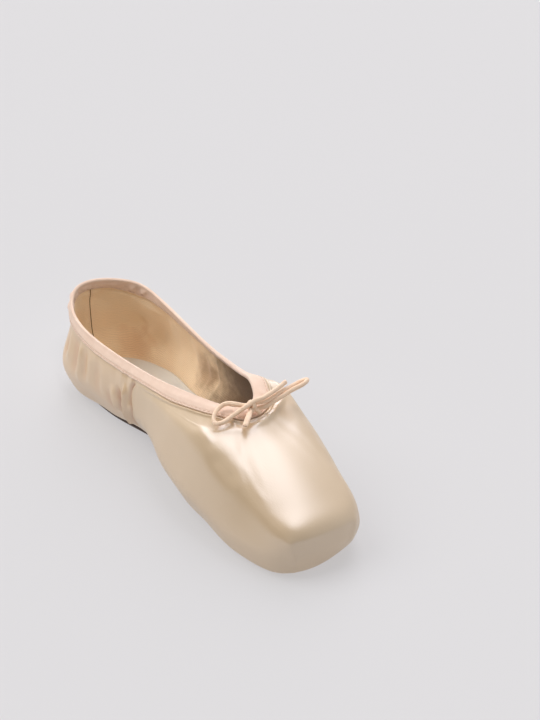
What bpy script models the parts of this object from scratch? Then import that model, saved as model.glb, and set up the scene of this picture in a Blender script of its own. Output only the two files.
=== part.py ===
"""A pointe shoe: satin upper with a hard toe box, bound collar, insole, leather outsole
and a drawstring tied in a bow. Metres, +Z up, toe towards -Y, the floor at Z = 0."""

from collections import namedtuple
from math import comb

import bmesh
import bpy
import numpy as np

# Driving dimensions of the last
SHOE_LENGTH = 0.235
BALL_WIDTH = 0.076
INSTEP_HEIGHT = 0.0480
HEEL_HEIGHT = 0.0580
ARCH_LIFT = 0.0048

# Walls and clearances
QUARTER_WALL = 0.0014
BOX_WALL = 0.0026
EDGE_WALL = 0.0009
GAP = 0.0003

# The box stiffens the toe from the joint forwards, as shares of the length from the heel
BOX_STARTS = 0.58
BOX_IS_HARD = 0.78

# The margin turned under for the sole, which is deepest at the toe, where it is pleated
MARGIN_WIDTH = 0.012
TOE_MARGIN_WIDTH = 0.026
TOE_MARGIN_STARTS = 0.78
TOE_MARGIN_IS_FULL = 0.97

# Insets run towards a line down the middle of the foot, between these shares of the length
MIDDLE_STARTS = 0.14
MIDDLE_ENDS = 0.84

# Rounds of the profile, the rim before the throat and the camber of the vamp's roof.
# A corner's bend reaches at most MOST_SETBACK of the way to its neighbours.
FEATHER_ROUND = 0.0065
WIDEST_ROUND = 0.009
MOST_SETBACK = 0.46
CORNER_HANDLES = (0.45, 0.85)
RIM_SETBACK = 0.016
RIM_MOST_SHARE = 0.4
RIM_ROUND = 0.006
ROOF_CAMBER = 0.0016
ROOF_FULL_LENGTH = 0.070

# Binding, sole and cord
BINDING_HEIGHT = 0.0078
BINDING_THICKNESS = 0.0010
FOLD_RISE = 0.0007
CROWN_RISE = 0.0015
OUTSOLE_THICKNESS = 0.0022
INSOLE_THICKNESS = 0.0015
INSOLE_EASE = 0.0018
CORD_DIAMETER = 0.0022

# One row for each section, from the heel back round one side to the toe.
# along and collar_along are shares of the length from the heel back; out and collar_out are
# shares of half the ball width; widest_up and shoulder_up are shares of the instep height
# and collar_up of the heel height; feather_up is over the line of the sole. It, the insets
# and the rounds are metres.
Section = namedtuple(
    "Section",
    "name along out widest_up feather_in feather_up shoulder_in shoulder_up shoulder_round "
    "collar_along collar_out collar_up rim_rise",
)
SECTIONS = (
    Section("heel back", 0.000, 0.00, 0.40, 0.0065, 0.0025, 0.0028, 0.86, 0.013, 0.056, 0.00, 0.970, 0.0000),
    Section("heel corner", 0.028, 0.48, 0.40, 0.0065, 0.0025, 0.0048, 0.81, 0.013, 0.080, 0.46, 0.900, 0.0000),
    Section("heel side", 0.120, 0.81, 0.41, 0.0066, 0.0025, 0.0050, 0.77, 0.013, 0.146, 0.66, 0.825, 0.0000),
    Section("quarter", 0.297, 0.79, 0.44, 0.0098, 0.0025, 0.0022, 0.79, 0.013, 0.295, 0.63, 0.795, 0.0000),
    Section("side seam", 0.467, 0.76, 0.49, 0.0108, 0.0025, 0.0030, 0.84, 0.013, 0.450, 0.53, 0.825, 0.0000),
    Section("joint", 0.625, 0.95, 0.43, 0.0096, 0.0025, 0.0070, 0.93, 0.014, 0.570, 0.425, 0.885, -0.0016),
    Section("wing", 0.745, 0.98, 0.36, 0.0062, 0.0025, 0.0090, 0.92, 0.014, 0.648, 0.27, 0.903, -0.0004),
    Section("box", 0.872, 0.84, 0.30, 0.0040, 0.0025, 0.0076, 0.71, 0.011, 0.678, 0.135, 0.897, 0.0008),
    Section("box side", 0.942, 0.69, 0.29, 0.0034, 0.0025, 0.0041, 0.59, 0.009, 0.684, 0.082, 0.893, 0.0010),
    Section("corner", 0.975, 0.54, 0.28, 0.0031, 0.0025, 0.0020, 0.54, 0.008, 0.686, 0.052, 0.890, 0.0010),
    Section("platform", 0.995, 0.29, 0.28, 0.0033, 0.0025, 0.0012, 0.54, 0.008, 0.687, 0.024, 0.888, 0.0010),
    Section("toe", 1.000, 0.00, 0.28, 0.0034, 0.0025, 0.0012, 0.55, 0.008, 0.687, 0.00, 0.888, 0.0010),
)
COLUMNS_ROUND = 84
RINGS_BELOW_BINDING = 13
RINGS_UNDER_BINDING = 3
SAME_POINT = 1e-6

# A power under one puts more columns where the sections are close together. Rings crowd where
# the profile bends: one for each stretch or turn of this size, evened out from column to column.
COLUMN_CROWDING = 0.8
RING_STRETCH = 0.009
RING_TURN = 0.35
EVENING_PASSES = 24

# Points along a corner, a straight stretch and a stretch of a route before they are thinned out
CORNER_POINTS = 14
STRAIGHT_POINTS = 10
ROUTE_POINTS = 12

# The outsole's outline; along is a share of the length from the heel back
SoleRow = namedtuple("SoleRow", "along half_width")
OUTSOLE_ROWS = (
    SoleRow(0.050, 0.0080),
    SoleRow(0.062, 0.0140),
    SoleRow(0.095, 0.0182),
    SoleRow(0.150, 0.0200),
    SoleRow(0.240, 0.0188),
    SoleRow(0.350, 0.0150),
    SoleRow(0.460, 0.0138),
    SoleRow(0.560, 0.0175),
    SoleRow(0.660, 0.0232),
    SoleRow(0.750, 0.0240),
    SoleRow(0.830, 0.0208),
    SoleRow(0.885, 0.0170),
    SoleRow(0.914, 0.0122),
    SoleRow(0.924, 0.0066),
)
OUTSOLE_STATIONS = 34
SOLE_EDGE_ROUND = 0.0005

# Where the arch leaves the floor and meets it again, as shares of the length from the heel
ARCH_BEGINS = 0.22
ARCH_ENDS = 0.66

# The drawstring, as it lies in the photograph: the knot's middle and size, and the routes of
# its loops and ends, each point chosen by hand
CORD_POINT_SPACING = 0.0024
KNOT_PLACE = (0.0004, -0.0497, 0.0544)
KNOT_SIZE = (0.0058, 0.0052, 0.0052)
LEFT_LOOP = (
    (-0.0022, -0.0478, 0.0562),
    (-0.0054, -0.0459, 0.0562),
    (-0.0082, -0.0431, 0.0558),
    (-0.0111, -0.0418, 0.0550),
    (-0.0144, -0.0427, 0.0540),
    (-0.0171, -0.0446, 0.0528),
    (-0.0188, -0.0467, 0.0516),
    (-0.0185, -0.0492, 0.0510),
    (-0.0152, -0.0500, 0.0514),
    (-0.0104, -0.0493, 0.0524),
    (-0.0060, -0.0489, 0.0530),
    (-0.0030, -0.0492, 0.0534),
)
RIGHT_LOOP = (
    (0.0035, -0.0500, 0.0560),
    (0.0075, -0.0512, 0.0562),
    (0.0131, -0.0503, 0.0567),
    (0.0189, -0.0492, 0.0572),
    (0.0247, -0.0482, 0.0577),
    (0.0299, -0.0476, 0.0582),
    (0.0328, -0.0489, 0.0588),
    (0.0286, -0.0513, 0.0588),
    (0.0224, -0.0517, 0.0572),
    (0.0170, -0.0522, 0.0558),
    (0.0119, -0.0522, 0.0546),
    (0.0070, -0.0519, 0.0537),
    (0.0034, -0.0506, 0.0533),
)
UPPER_END = (
    (0.0014, -0.0509, 0.0580),
    (0.0052, -0.0518, 0.0588),
    (0.0100, -0.0510, 0.0594),
    (0.0156, -0.0493, 0.0599),
    (0.0213, -0.0472, 0.0604),
)
LOWER_END = (
    (-0.0016, -0.0519, 0.0534),
    (-0.0046, -0.0548, 0.0530),
    (-0.0086, -0.0582, 0.0512),
)


def along_to_y(along):
    """The Y of a place given as a share of the length from the heel back."""
    return SHOE_LENGTH * (0.5 - along)


def smooth_step(value, start, end):
    """0 before start, 1 after end, and a soft rise between."""
    share = np.clip((value - start) / (end - start), 0.0, 1.0)
    return share * share * (3.0 - 2.0 * share)


def sole_line(y):
    """Height of the outsole's underside over the floor: flat heel, arch, flat forefoot."""
    along = 0.5 - y / SHOE_LENGTH
    share = np.clip((along - ARCH_BEGINS) / (ARCH_ENDS - ARCH_BEGINS), 0.0, 1.0)
    return ARCH_LIFT * np.sin(np.pi * share) ** 2


def margin_at(y):
    """Width of the margin turned under at a place along the shoe."""
    along = 0.5 - y / SHOE_LENGTH
    share = smooth_step(along, TOE_MARGIN_STARTS, TOE_MARGIN_IS_FULL)
    return MARGIN_WIDTH + (TOE_MARGIN_WIDTH - MARGIN_WIDTH) * share


def middle_at(y):
    """The Y of the nearest place on the line down the middle of the foot."""
    return np.clip(y, along_to_y(MIDDLE_ENDS), along_to_y(MIDDLE_STARTS))


def wall_at(y):
    """The upper's wall: thin cloth at the quarters, a stiff box at the toe."""
    along = 0.5 - y / SHOE_LENGTH
    hardness = smooth_step(along, BOX_STARTS, BOX_IS_HARD)
    return QUARTER_WALL + (BOX_WALL - QUARTER_WALL) * hardness


def closed_spline(stations, rows, places):
    """Values at some places on the closed cubic curve through the rows; the last row is the first."""
    steps = np.diff(stations)
    count = len(steps)
    matrix = np.zeros((count, count))
    right = np.zeros((count, rows.shape[1]))
    for i in range(count):
        before = steps[i - 1]
        after = steps[i]
        matrix[i, i - 1] += before
        matrix[i, i] += 2.0 * (before + after)
        matrix[i, (i + 1) % count] += after
        slope_before = (rows[i] - rows[(i - 1) % count]) / before
        slope_after = (rows[i + 1] - rows[i]) / after
        right[i] = 6.0 * (slope_after - slope_before)
    bends = np.linalg.solve(matrix, right)
    bends = np.vstack([bends, bends[:1]])
    index = np.clip(np.searchsorted(stations, places, side="right") - 1, 0, count - 1)
    length = steps[index][:, None]
    after = (places[:, None] - stations[index][:, None]) / length
    before = 1.0 - after
    cubic = (before**3 - before) * bends[index] + (after**3 - after) * bends[index + 1]
    return before * rows[index] + after * rows[index + 1] + cubic * length**2 / 6.0


def route_length(points):
    """Distance travelled at each point of a line."""
    return np.concatenate([[0.0], np.cumsum(np.linalg.norm(np.diff(points, axis=0), axis=1))])


def open_spline(points, count):
    """Evenly spaced points on a smooth curve through hand-placed points."""
    points = np.array(points)
    ends = np.vstack([2 * points[0] - points[1], points, 2 * points[-1] - points[-2]])
    dense = []
    for a, b, c, d in zip(ends, ends[1:], ends[2:], ends[3:]):
        square = 2 * a - 5 * b + 4 * c - d
        cube = 3 * b - a - 3 * c + d
        for t in np.linspace(0.0, 1.0, ROUTE_POINTS, endpoint=False):
            dense.append(b + ((c - a) * t + square * t**2 + cube * t**3) / 2.0)
    dense.append(points[-1])
    dense = np.array(dense)
    lengths = route_length(dense)
    wanted = np.linspace(0.0, lengths[-1], count)
    return np.column_stack([np.interp(wanted, lengths, dense[:, k]) for k in range(3)])


def section_values(columns):
    """The section table in metres, mirrored and read at evenly spread columns round the shoe."""
    half = np.array([row[1:] for row in SECTIONS])
    half[:, 0] = along_to_y(half[:, 0])
    half[:, 8] = along_to_y(half[:, 8])
    half[:, [1, 9]] *= BALL_WIDTH / 2.0
    half[:, [2, 6]] *= INSTEP_HEIGHT
    half[:, 10] *= HEEL_HEIGHT
    mirrored = half[-2:0:-1].copy()
    mirrored[:, [1, 9]] *= -1.0
    rows = np.vstack([half, mirrored, half[:1]])
    chords = np.hypot(np.diff(rows[:, 0]), np.diff(rows[:, 1]))
    stations = np.concatenate([[0.0], np.cumsum(chords**COLUMN_CROWDING)])
    places = np.linspace(0.0, stations[-1], columns, endpoint=False)
    return closed_spline(stations, rows, places)


def rounded_corner(before, at, after, setback):
    """Points of a soft corner: a quintic curve whose bend starts and ends at nothing."""
    to_before = before - at
    to_after = after - at
    reach_before = np.linalg.norm(to_before, axis=1, keepdims=True)
    reach_after = np.linalg.norm(to_after, axis=1, keepdims=True)
    start = at + to_before * np.minimum(setback, MOST_SETBACK * reach_before) / reach_before
    end = at + to_after * np.minimum(setback, MOST_SETBACK * reach_after) / reach_after
    near, far = CORNER_HANDLES
    handles = (start, start + near * (at - start), start + far * (at - start))
    handles += (end + far * (at - end), end + near * (at - end), end)
    share = np.linspace(0.0, 1.0, CORNER_POINTS)[None, :, None]
    degree = len(handles) - 1
    corner = 0.0
    for i, handle in enumerate(handles):
        corner = corner + comb(degree, i) * share**i * (1.0 - share) ** (degree - i) * handle[:, None]
    return corner


def outer_rings(columns, rings_below, rings_under):
    """The upper's outer face: for each column, points from the margin's inner edge up to the collar.

    The last rings_under points lie under the binding at even distances."""
    values = section_values(columns)
    y, x, widest_up, feather_in, feather_up, shoulder_in, shoulder_up = values[:, :7].T
    shoulder_round, collar_y, collar_x, collar_up, rim_rise = values[:, 7:].T

    inwards = np.column_stack([0.0 * x, middle_at(y)]) - np.column_stack([x, y])
    inwards /= np.linalg.norm(inwards, axis=1, keepdims=True)

    def inset(distance, height):
        plan = np.column_stack([x, y]) + inwards * distance[:, None]
        return np.column_stack([plan, height + 0.0 * x])

    widest = np.column_stack([x, y, widest_up])
    feather = inset(feather_in, 0.0)
    feather[:, 2] = sole_line(feather[:, 1]) + feather_up
    margin = inset(feather_in + margin_at(y), 0.0)
    margin[:, 2] = sole_line(margin[:, 1]) + OUTSOLE_THICKNESS + GAP
    shoulder = inset(shoulder_in, shoulder_up)
    collar = np.column_stack([collar_x, collar_y, collar_up])
    to_shoulder = shoulder - collar
    roof = np.linalg.norm(to_shoulder, axis=1, keepdims=True)
    rim = collar + to_shoulder * np.minimum(RIM_SETBACK / roof, RIM_MOST_SHARE)
    rim[:, 2] += rim_rise

    corners = (
        rounded_corner(margin, feather, widest, FEATHER_ROUND),
        rounded_corner(feather, widest, shoulder, WIDEST_ROUND),
        rounded_corner(widest, shoulder, rim, shoulder_round[:, None]),
        rounded_corner(shoulder, rim, collar, RIM_ROUND),
    )
    share = np.linspace(0.0, 1.0, STRAIGHT_POINTS)[None, 1:-1, None]
    pieces = [margin[:, None]]
    for corner in corners:
        start = pieces[-1][:, -1:]
        straight = start + (corner[:, :1] - start) * share
        if corner is corners[3]:
            # The roof of the vamp is slightly arched between the shoulder and the rim
            camber = ROOF_CAMBER * np.minimum(roof / ROOF_FULL_LENGTH, 1.0) ** 2
            straight[:, :, 2] += camber * 4.0 * (share * (1.0 - share))[:, :, 0]
        pieces += [straight, corner]
    start = pieces[-1][:, -1:]
    pieces += [start + (collar[:, None] - start) * share, collar[:, None]]
    dense = np.concatenate(pieces, axis=1)

    lines = []
    places = []
    for line in dense:
        apart = np.linalg.norm(np.diff(line, axis=0), axis=1) > SAME_POINT
        line = line[np.concatenate([[True], apart])]
        travelled = route_length(line)
        headings = np.diff(line, axis=0) / np.diff(travelled)[:, None]
        turns = np.arccos(np.clip((headings[1:] * headings[:-1]).sum(axis=1), -1.0, 1.0))
        turned = np.concatenate([[0.0], np.cumsum(turns), [turns.sum()]])
        effort = travelled / RING_STRETCH + turned / RING_TURN
        edge = travelled[-1] - BINDING_HEIGHT
        effort_at_edge = np.interp(edge, travelled, effort)
        even = np.linspace(0.0, effort_at_edge, rings_below, endpoint=False)
        lines.append((line, travelled, edge))
        places.append(np.interp(even, effort, travelled) / edge)
    places = np.array(places)
    for _ in range(EVENING_PASSES):
        places = (np.roll(places, 1, axis=0) + 2.0 * places + np.roll(places, -1, axis=0)) / 4.0

    rings = np.empty((columns, rings_below + rings_under, 3))
    for column, (line, travelled, edge) in enumerate(lines):
        under = np.linspace(edge, travelled[-1], rings_under)
        wanted = np.concatenate([places[column] * edge, under])
        for k in range(3):
            rings[column, :, k] = np.interp(wanted, travelled, line[:, k])
    return rings


def outward_normals(rings):
    """Unit normals of a grid that is closed round the shoe and open from margin to collar."""
    round_shoe = np.roll(rings, -1, axis=0) - np.roll(rings, 1, axis=0)
    up_wall = np.gradient(rings, axis=1)
    normals = np.cross(up_wall, round_shoe)
    return normals / np.linalg.norm(normals, axis=2, keepdims=True)


def new_material(name, colour, roughness):
    material = bpy.data.materials.new(name)
    material.use_nodes = True
    shader = material.node_tree.nodes["Principled BSDF"]
    shader.inputs["Base Color"].default_value = (*colour, 1.0)
    shader.inputs["Roughness"].default_value = roughness
    shader.inputs["Metallic"].default_value = 0.0
    return material


def add_mesh(name, points, faces, material):
    """One named object from points and faces, with its faces pointing out and shaded smooth."""
    mesh = bpy.data.meshes.new(name)
    mesh.from_pydata([tuple(point) for point in points], [], faces)
    shape = bmesh.new()
    shape.from_mesh(mesh)
    bmesh.ops.recalc_face_normals(shape, faces=shape.faces)
    shape.to_mesh(mesh)
    shape.free()
    mesh.shade_smooth()
    mesh.materials.append(material)
    piece = bpy.data.objects.new(name, mesh)
    bpy.context.scene.collection.objects.link(piece)
    return piece


def swept_ring(name, loops, material):
    """A closed ring: loops[column] is the section's loop of points at that column."""
    columns, size = loops.shape[:2]
    points = loops.reshape(-1, 3)
    faces = []
    for i in range(columns):
        after = (i + 1) % columns
        for j in range(size):
            k = (j + 1) % size
            a, b, c, d = i * size + j, after * size + j, after * size + k, i * size + k
            # Each square is cut along its shorter diagonal, the same way on both sides of the shoe
            if np.linalg.norm(points[a] - points[c]) < np.linalg.norm(points[b] - points[d]):
                faces += [(a, b, c), (a, c, d)]
            else:
                faces += [(a, b, d), (b, c, d)]
    return add_mesh(name, points, faces, material)


def ladder(name, sections, material):
    """A strip with closed ends: sections[station] is the loop of points at that station."""
    stations, size = sections.shape[:2]
    faces = [tuple(range(size)), tuple((stations - 1) * size + j for j in range(size))]
    for i in range(stations - 1):
        for j in range(size):
            k = (j + 1) % size
            faces.append((i * size + j, (i + 1) * size + j, (i + 1) * size + k, i * size + k))
    return add_mesh(name, sections.reshape(-1, 3), faces, material)


def make_upper(outer, normals, material):
    """The satin upper with its lining, as one wall open at the collar and underneath."""
    walls = wall_at(outer[:, :, 1])
    walls[:, -RINGS_UNDER_BINDING:] = EDGE_WALL
    inner = outer - normals * walls[:, :, None]
    swept_ring("upper", np.concatenate([outer, inner[:, ::-1]], axis=1), material)
    return inner


def make_binding(outer, inner, normals, material):
    """The folded strip over the collar's edge: an outer leaf, a fold and an inner leaf."""
    land = slice(-RINGS_UNDER_BINDING, None)
    out = normals[:, land]
    up = outer[:, -1] - outer[:, -2]
    up /= np.linalg.norm(up, axis=1, keepdims=True)
    seat_out = outer[:, land] + out * GAP
    face_out = outer[:, land] + out * (GAP + BINDING_THICKNESS)
    seat_in = inner[:, land] - out * GAP
    face_in = inner[:, land] - out * (GAP + BINDING_THICKNESS)
    fold_out = face_out[:, -1] + up * FOLD_RISE
    fold_in = face_in[:, -1] + up * FOLD_RISE
    crown = (face_out[:, -1] + face_in[:, -1]) / 2.0 + up * CROWN_RISE
    roof_out = seat_out[:, -1] + up * GAP
    roof_in = seat_in[:, -1] + up * GAP
    leaf_out = np.concatenate([face_out, fold_out[:, None], crown[:, None]], axis=1)
    leaf_in = np.concatenate([fold_in[:, None], face_in[:, ::-1], seat_in], axis=1)
    channel = np.concatenate([roof_in[:, None], roof_out[:, None], seat_out[:, ::-1]], axis=1)
    swept_ring("binding", np.concatenate([leaf_out, leaf_in, channel], axis=1), material)


def margin_top(y):
    """Height of the turned margin's upper side, where the insole lies."""
    return sole_line(y) + OUTSOLE_THICKNESS + GAP + wall_at(y)


def make_insole(inner, material):
    """The sock inside, on the turned margin, cut to the foot of the wall."""
    sections = []
    for line in inner[1 : len(inner) // 2]:
        # Where the wall has risen by the gap over the margin, the sock's edge stops
        rising = line[int(np.argmin(line[:, 2])) :]
        height = margin_top(line[0, 1]) + GAP
        reach = np.array([np.interp(height, rising[:, 2], rising[:, k]) for k in range(2)])
        inwards = np.array([0.0, middle_at(reach[1])]) - reach
        x, y = reach + inwards / np.linalg.norm(inwards) * INSOLE_EASE
        low = margin_top(y) + GAP
        high = low + INSOLE_THICKNESS
        upper_side = [(x, y, high), (0.0, y, high), (-x, y, high)]
        lower_side = [(-x, y, low), (0.0, y, low), (x, y, low)]
        sections.append(upper_side + lower_side)
    ladder("insole", np.array(sections), material)


def make_outsole(material):
    """The leather sole: flat under heel and forefoot, lifted at the arch, its lower edge eased."""
    rows = np.array([(along_to_y(row.along), row.half_width) for row in OUTSOLE_ROWS])
    flat = np.column_stack([rows[:, 1], rows[:, 0], 0.0 * rows[:, 0]])
    outline = open_spline(flat, OUTSOLE_STATIONS)
    sections = []
    for half_width, y, _ in outline:
        low = sole_line(y)
        high = low + OUTSOLE_THICKNESS
        eased = half_width - SOLE_EDGE_ROUND
        sections.append(
            [
                (eased, y, low),
                (half_width, y, low + SOLE_EDGE_ROUND),
                (half_width, y, high),
                (-half_width, y, high),
                (-half_width, y, low + SOLE_EDGE_ROUND),
                (-eased, y, low),
            ]
        )
    ladder("outsole", np.array(sections), material)


def make_cord(name, route, material):
    """A stretch of the drawstring: a round cord on a smooth curve through its route."""
    curve = bpy.data.curves.new(name, "CURVE")
    curve.dimensions = "3D"
    curve.bevel_depth = CORD_DIAMETER / 2.0
    curve.bevel_resolution = 2
    curve.use_fill_caps = True
    spline = curve.splines.new("POLY")
    count = 1 + round(route_length(np.array(route))[-1] / CORD_POINT_SPACING)
    path = open_spline(route, count)
    spline.points.add(len(path) - 1)
    for point, place in zip(spline.points, path):
        point.co = (*place, 1.0)
    curve.materials.append(material)
    cord = bpy.data.objects.new(name, curve)
    bpy.context.scene.collection.objects.link(cord)


def make_knot(material):
    """The bow's knot: the cord wrapped once round itself, as one plump form."""
    mesh = bpy.data.meshes.new("drawstring_knot")
    shape = bmesh.new()
    bmesh.ops.create_uvsphere(shape, u_segments=12, v_segments=8, radius=0.5)
    bmesh.ops.scale(shape, vec=KNOT_SIZE, verts=shape.verts)
    bmesh.ops.translate(shape, vec=KNOT_PLACE, verts=shape.verts)
    shape.to_mesh(mesh)
    shape.free()
    mesh.shade_smooth()
    mesh.materials.append(material)
    knot = bpy.data.objects.new("drawstring_knot", mesh)
    bpy.context.scene.collection.objects.link(knot)


for leftover in list(bpy.data.objects):
    bpy.data.objects.remove(leftover, do_unlink=True)

satin = new_material("satin", (0.80, 0.62, 0.47), 0.35)
bias_tape = new_material("bias tape", (0.76, 0.54, 0.42), 0.80)
cotton_sock = new_material("cotton sock", (0.60, 0.56, 0.50), 0.90)
leather = new_material("leather", (0.17, 0.11, 0.08), 0.65)
cotton_cord = new_material("cotton cord", (0.82, 0.62, 0.46), 0.80)

outer_face = outer_rings(COLUMNS_ROUND, RINGS_BELOW_BINDING, RINGS_UNDER_BINDING)
outer_normals = outward_normals(outer_face)
inner_face = make_upper(outer_face, outer_normals, satin)
make_binding(outer_face, inner_face, outer_normals, bias_tape)
make_insole(inner_face, cotton_sock)
make_outsole(leather)
make_knot(cotton_cord)
make_cord("drawstring_left_loop", LEFT_LOOP, cotton_cord)
make_cord("drawstring_right_loop", RIGHT_LOOP, cotton_cord)
make_cord("drawstring_upper_end", UPPER_END, cotton_cord)
make_cord("drawstring_lower_end", LOWER_END, cotton_cord)
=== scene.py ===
"""A satin pointe shoe on a pale studio floor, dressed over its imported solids.

Metres, +Z up, toe towards -Y and heel towards +Y, the floor at Z = 0. The last is symmetric
about X = 0, so only the folds and the bow tell one side from the other."""

from math import comb

import bpy
import numpy as np
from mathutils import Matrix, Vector, noise


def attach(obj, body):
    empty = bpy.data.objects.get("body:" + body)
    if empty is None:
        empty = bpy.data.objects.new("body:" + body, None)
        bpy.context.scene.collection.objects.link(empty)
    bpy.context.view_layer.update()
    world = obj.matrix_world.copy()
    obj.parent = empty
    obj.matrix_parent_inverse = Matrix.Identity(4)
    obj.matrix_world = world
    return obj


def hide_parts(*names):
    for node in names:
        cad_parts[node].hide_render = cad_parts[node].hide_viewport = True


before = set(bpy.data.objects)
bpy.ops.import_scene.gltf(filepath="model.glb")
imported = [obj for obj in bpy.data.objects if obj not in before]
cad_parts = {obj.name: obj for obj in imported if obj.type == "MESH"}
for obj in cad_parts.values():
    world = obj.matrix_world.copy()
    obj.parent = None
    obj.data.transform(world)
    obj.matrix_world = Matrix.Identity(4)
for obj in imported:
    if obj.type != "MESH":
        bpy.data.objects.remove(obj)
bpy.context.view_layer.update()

# Camera
# A long lens from the toe's left that looks down at the shoe, which lies in the picture's
# lower left half.
CAMERA_AIM = Vector((0.065071, 0.034950, 0.020))
CAMERA_AZIMUTH = np.radians(-32.675)
CAMERA_ELEVATION = np.radians(29.442)
CAMERA_DISTANCE = 0.900
camera_data = bpy.data.cameras.new("camera")
camera_data.sensor_width = 36.0
camera_data.lens = 83.46
camera = bpy.data.objects.new("camera", camera_data)
bpy.context.scene.collection.objects.link(camera)
level = Vector((np.sin(CAMERA_AZIMUTH), -np.cos(CAMERA_AZIMUTH), 0.0))
camera_back = level * np.cos(CAMERA_ELEVATION) + Vector((0.0, 0.0, np.sin(CAMERA_ELEVATION)))
camera.location = CAMERA_AIM + camera_back * CAMERA_DISTANCE
camera.rotation_mode = "QUATERNION"
camera.rotation_quaternion = (-camera_back).to_track_quat("-Z", "Y")
bpy.context.scene.camera = camera

# The last
# The wooden form that the shoe is made on gives every piece its shape: the sections run from
# the heel back round one side to the toe, and each is a profile from the turned margin under
# the sole to the collar.
SHOE_LENGTH = 0.235
BALL_WIDTH = 0.076
INSTEP_HEIGHT = 0.0480
HEEL_HEIGHT = 0.0580
ARCH_LIFT = 0.0048
ARCH_BEGINS = 0.22
ARCH_ENDS = 0.66
OUTSOLE_THICKNESS = 0.0022
GAP = 0.0003
MARGIN_WIDTH = 0.012
TOE_MARGIN_WIDTH = 0.026
TOE_MARGIN_STARTS = 0.78
TOE_MARGIN_IS_FULL = 0.97
MIDDLE_STARTS = 0.14
MIDDLE_ENDS = 0.84
FEATHER_ROUND = 0.0065
WIDEST_ROUND = 0.009
MOST_SETBACK = 0.46
CORNER_HANDLES = (0.45, 0.85)
RIM_SETBACK = 0.016
RIM_MOST_SHARE = 0.4
RIM_ROUND = 0.006
ROOF_CAMBER = 0.0016
ROOF_FULL_LENGTH = 0.070
BINDING_HEIGHT = 0.0078
COLUMN_CROWDING = 0.8

# A row for each section: along, out, widest_up, feather_in, shoulder_in, shoulder_up,
# shoulder_round, collar_along, collar_out, collar_up and rim_rise. The columns named below are
# shares, the alongs counted from the heel back; the rest are metres.
SECTIONS = (
    (0.000, 0.00, 0.40, 0.0065, 0.0028, 0.86, 0.013, 0.056, 0.00, 0.970, 0.0),  # heel back
    (0.028, 0.48, 0.40, 0.0065, 0.0048, 0.81, 0.013, 0.080, 0.46, 0.900, 0.0),  # heel corner
    (0.120, 0.81, 0.41, 0.0066, 0.0050, 0.77, 0.013, 0.146, 0.66, 0.825, 0.0),  # heel side
    (0.297, 0.79, 0.44, 0.0098, 0.0022, 0.79, 0.013, 0.295, 0.63, 0.795, 0.0),  # quarter
    (0.467, 0.76, 0.49, 0.0108, 0.0030, 0.84, 0.013, 0.450, 0.53, 0.825, 0.0),  # side seam
    (0.625, 0.95, 0.43, 0.0096, 0.0070, 0.93, 0.014, 0.570, 0.425, 0.885, -0.0016),  # joint
    (0.745, 0.98, 0.36, 0.0062, 0.0090, 0.92, 0.014, 0.648, 0.27, 0.903, -0.0004),  # wing
    (0.872, 0.84, 0.30, 0.0040, 0.0076, 0.71, 0.011, 0.678, 0.135, 0.897, 0.0008),  # box
    (0.942, 0.69, 0.29, 0.0034, 0.0041, 0.59, 0.009, 0.684, 0.082, 0.893, 0.0010),  # box side
    (0.975, 0.54, 0.28, 0.0031, 0.0020, 0.54, 0.008, 0.686, 0.052, 0.890, 0.0010),  # corner
    (0.995, 0.29, 0.28, 0.0033, 0.0012, 0.54, 0.008, 0.687, 0.024, 0.888, 0.0010),  # platform
    (1.000, 0.00, 0.28, 0.0034, 0.0012, 0.55, 0.008, 0.687, 0.00, 0.888, 0.0010),  # toe
)
LENGTH_SHARES = [0, 7]
HALF_WIDTH_SHARES = [1, 8]
INSTEP_SHARES = [2, 5]
HEEL_SHARE = 9
FEATHER_UP = 0.0025

# The grid that the satin, the lining and the binding share. Rings crowd towards the binding,
# by this much over this distance, because the finest puckers lie there.
COLUMNS_ROUND = 640
RINGS_BELOW_BINDING = 108
RINGS_UNDER_BINDING = 20
CROWDED_BY = 0.012
CROWDED_OVER = 0.008
CORNER_POINTS = 40
STRAIGHT_POINTS = 14
ROUTE_POINTS = 12
SAME_POINT = 1e-7


def along_to_y(along):
    """The Y of a place given as a share of the length from the heel back."""
    return SHOE_LENGTH * (0.5 - along)


def y_to_along(y):
    """The share of the length from the heel back at some Y."""
    return 0.5 - y / SHOE_LENGTH


def smooth_step(value, start, end):
    """0 before start, 1 after end, and a soft rise between."""
    share = np.clip((value - start) / (end - start), 0.0, 1.0)
    return share * share * (3.0 - 2.0 * share)


def bell(value, middle, width):
    """1 at the middle and a soft fall to both sides."""
    return np.exp(-(((value - middle) / width) ** 2))


def window(value, rise, fall):
    """1 between the rise and the fall and 0 outside them, with soft edges over both."""
    return smooth_step(value, *rise) * (1.0 - smooth_step(value, *fall))


def sole_line(y):
    """Height of the outsole's underside over the floor: flat heel, arch, flat forefoot."""
    along = y_to_along(y)
    share = np.clip((along - ARCH_BEGINS) / (ARCH_ENDS - ARCH_BEGINS), 0.0, 1.0)
    return ARCH_LIFT * np.sin(np.pi * share) ** 2


def margin_at(y):
    """Width of the margin turned under at a place along the shoe."""
    share = smooth_step(y_to_along(y), TOE_MARGIN_STARTS, TOE_MARGIN_IS_FULL)
    return MARGIN_WIDTH + (TOE_MARGIN_WIDTH - MARGIN_WIDTH) * share


def middle_at(y):
    """The Y of the nearest place on the line down the middle of the foot."""
    return np.clip(y, along_to_y(MIDDLE_ENDS), along_to_y(MIDDLE_STARTS))


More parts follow.
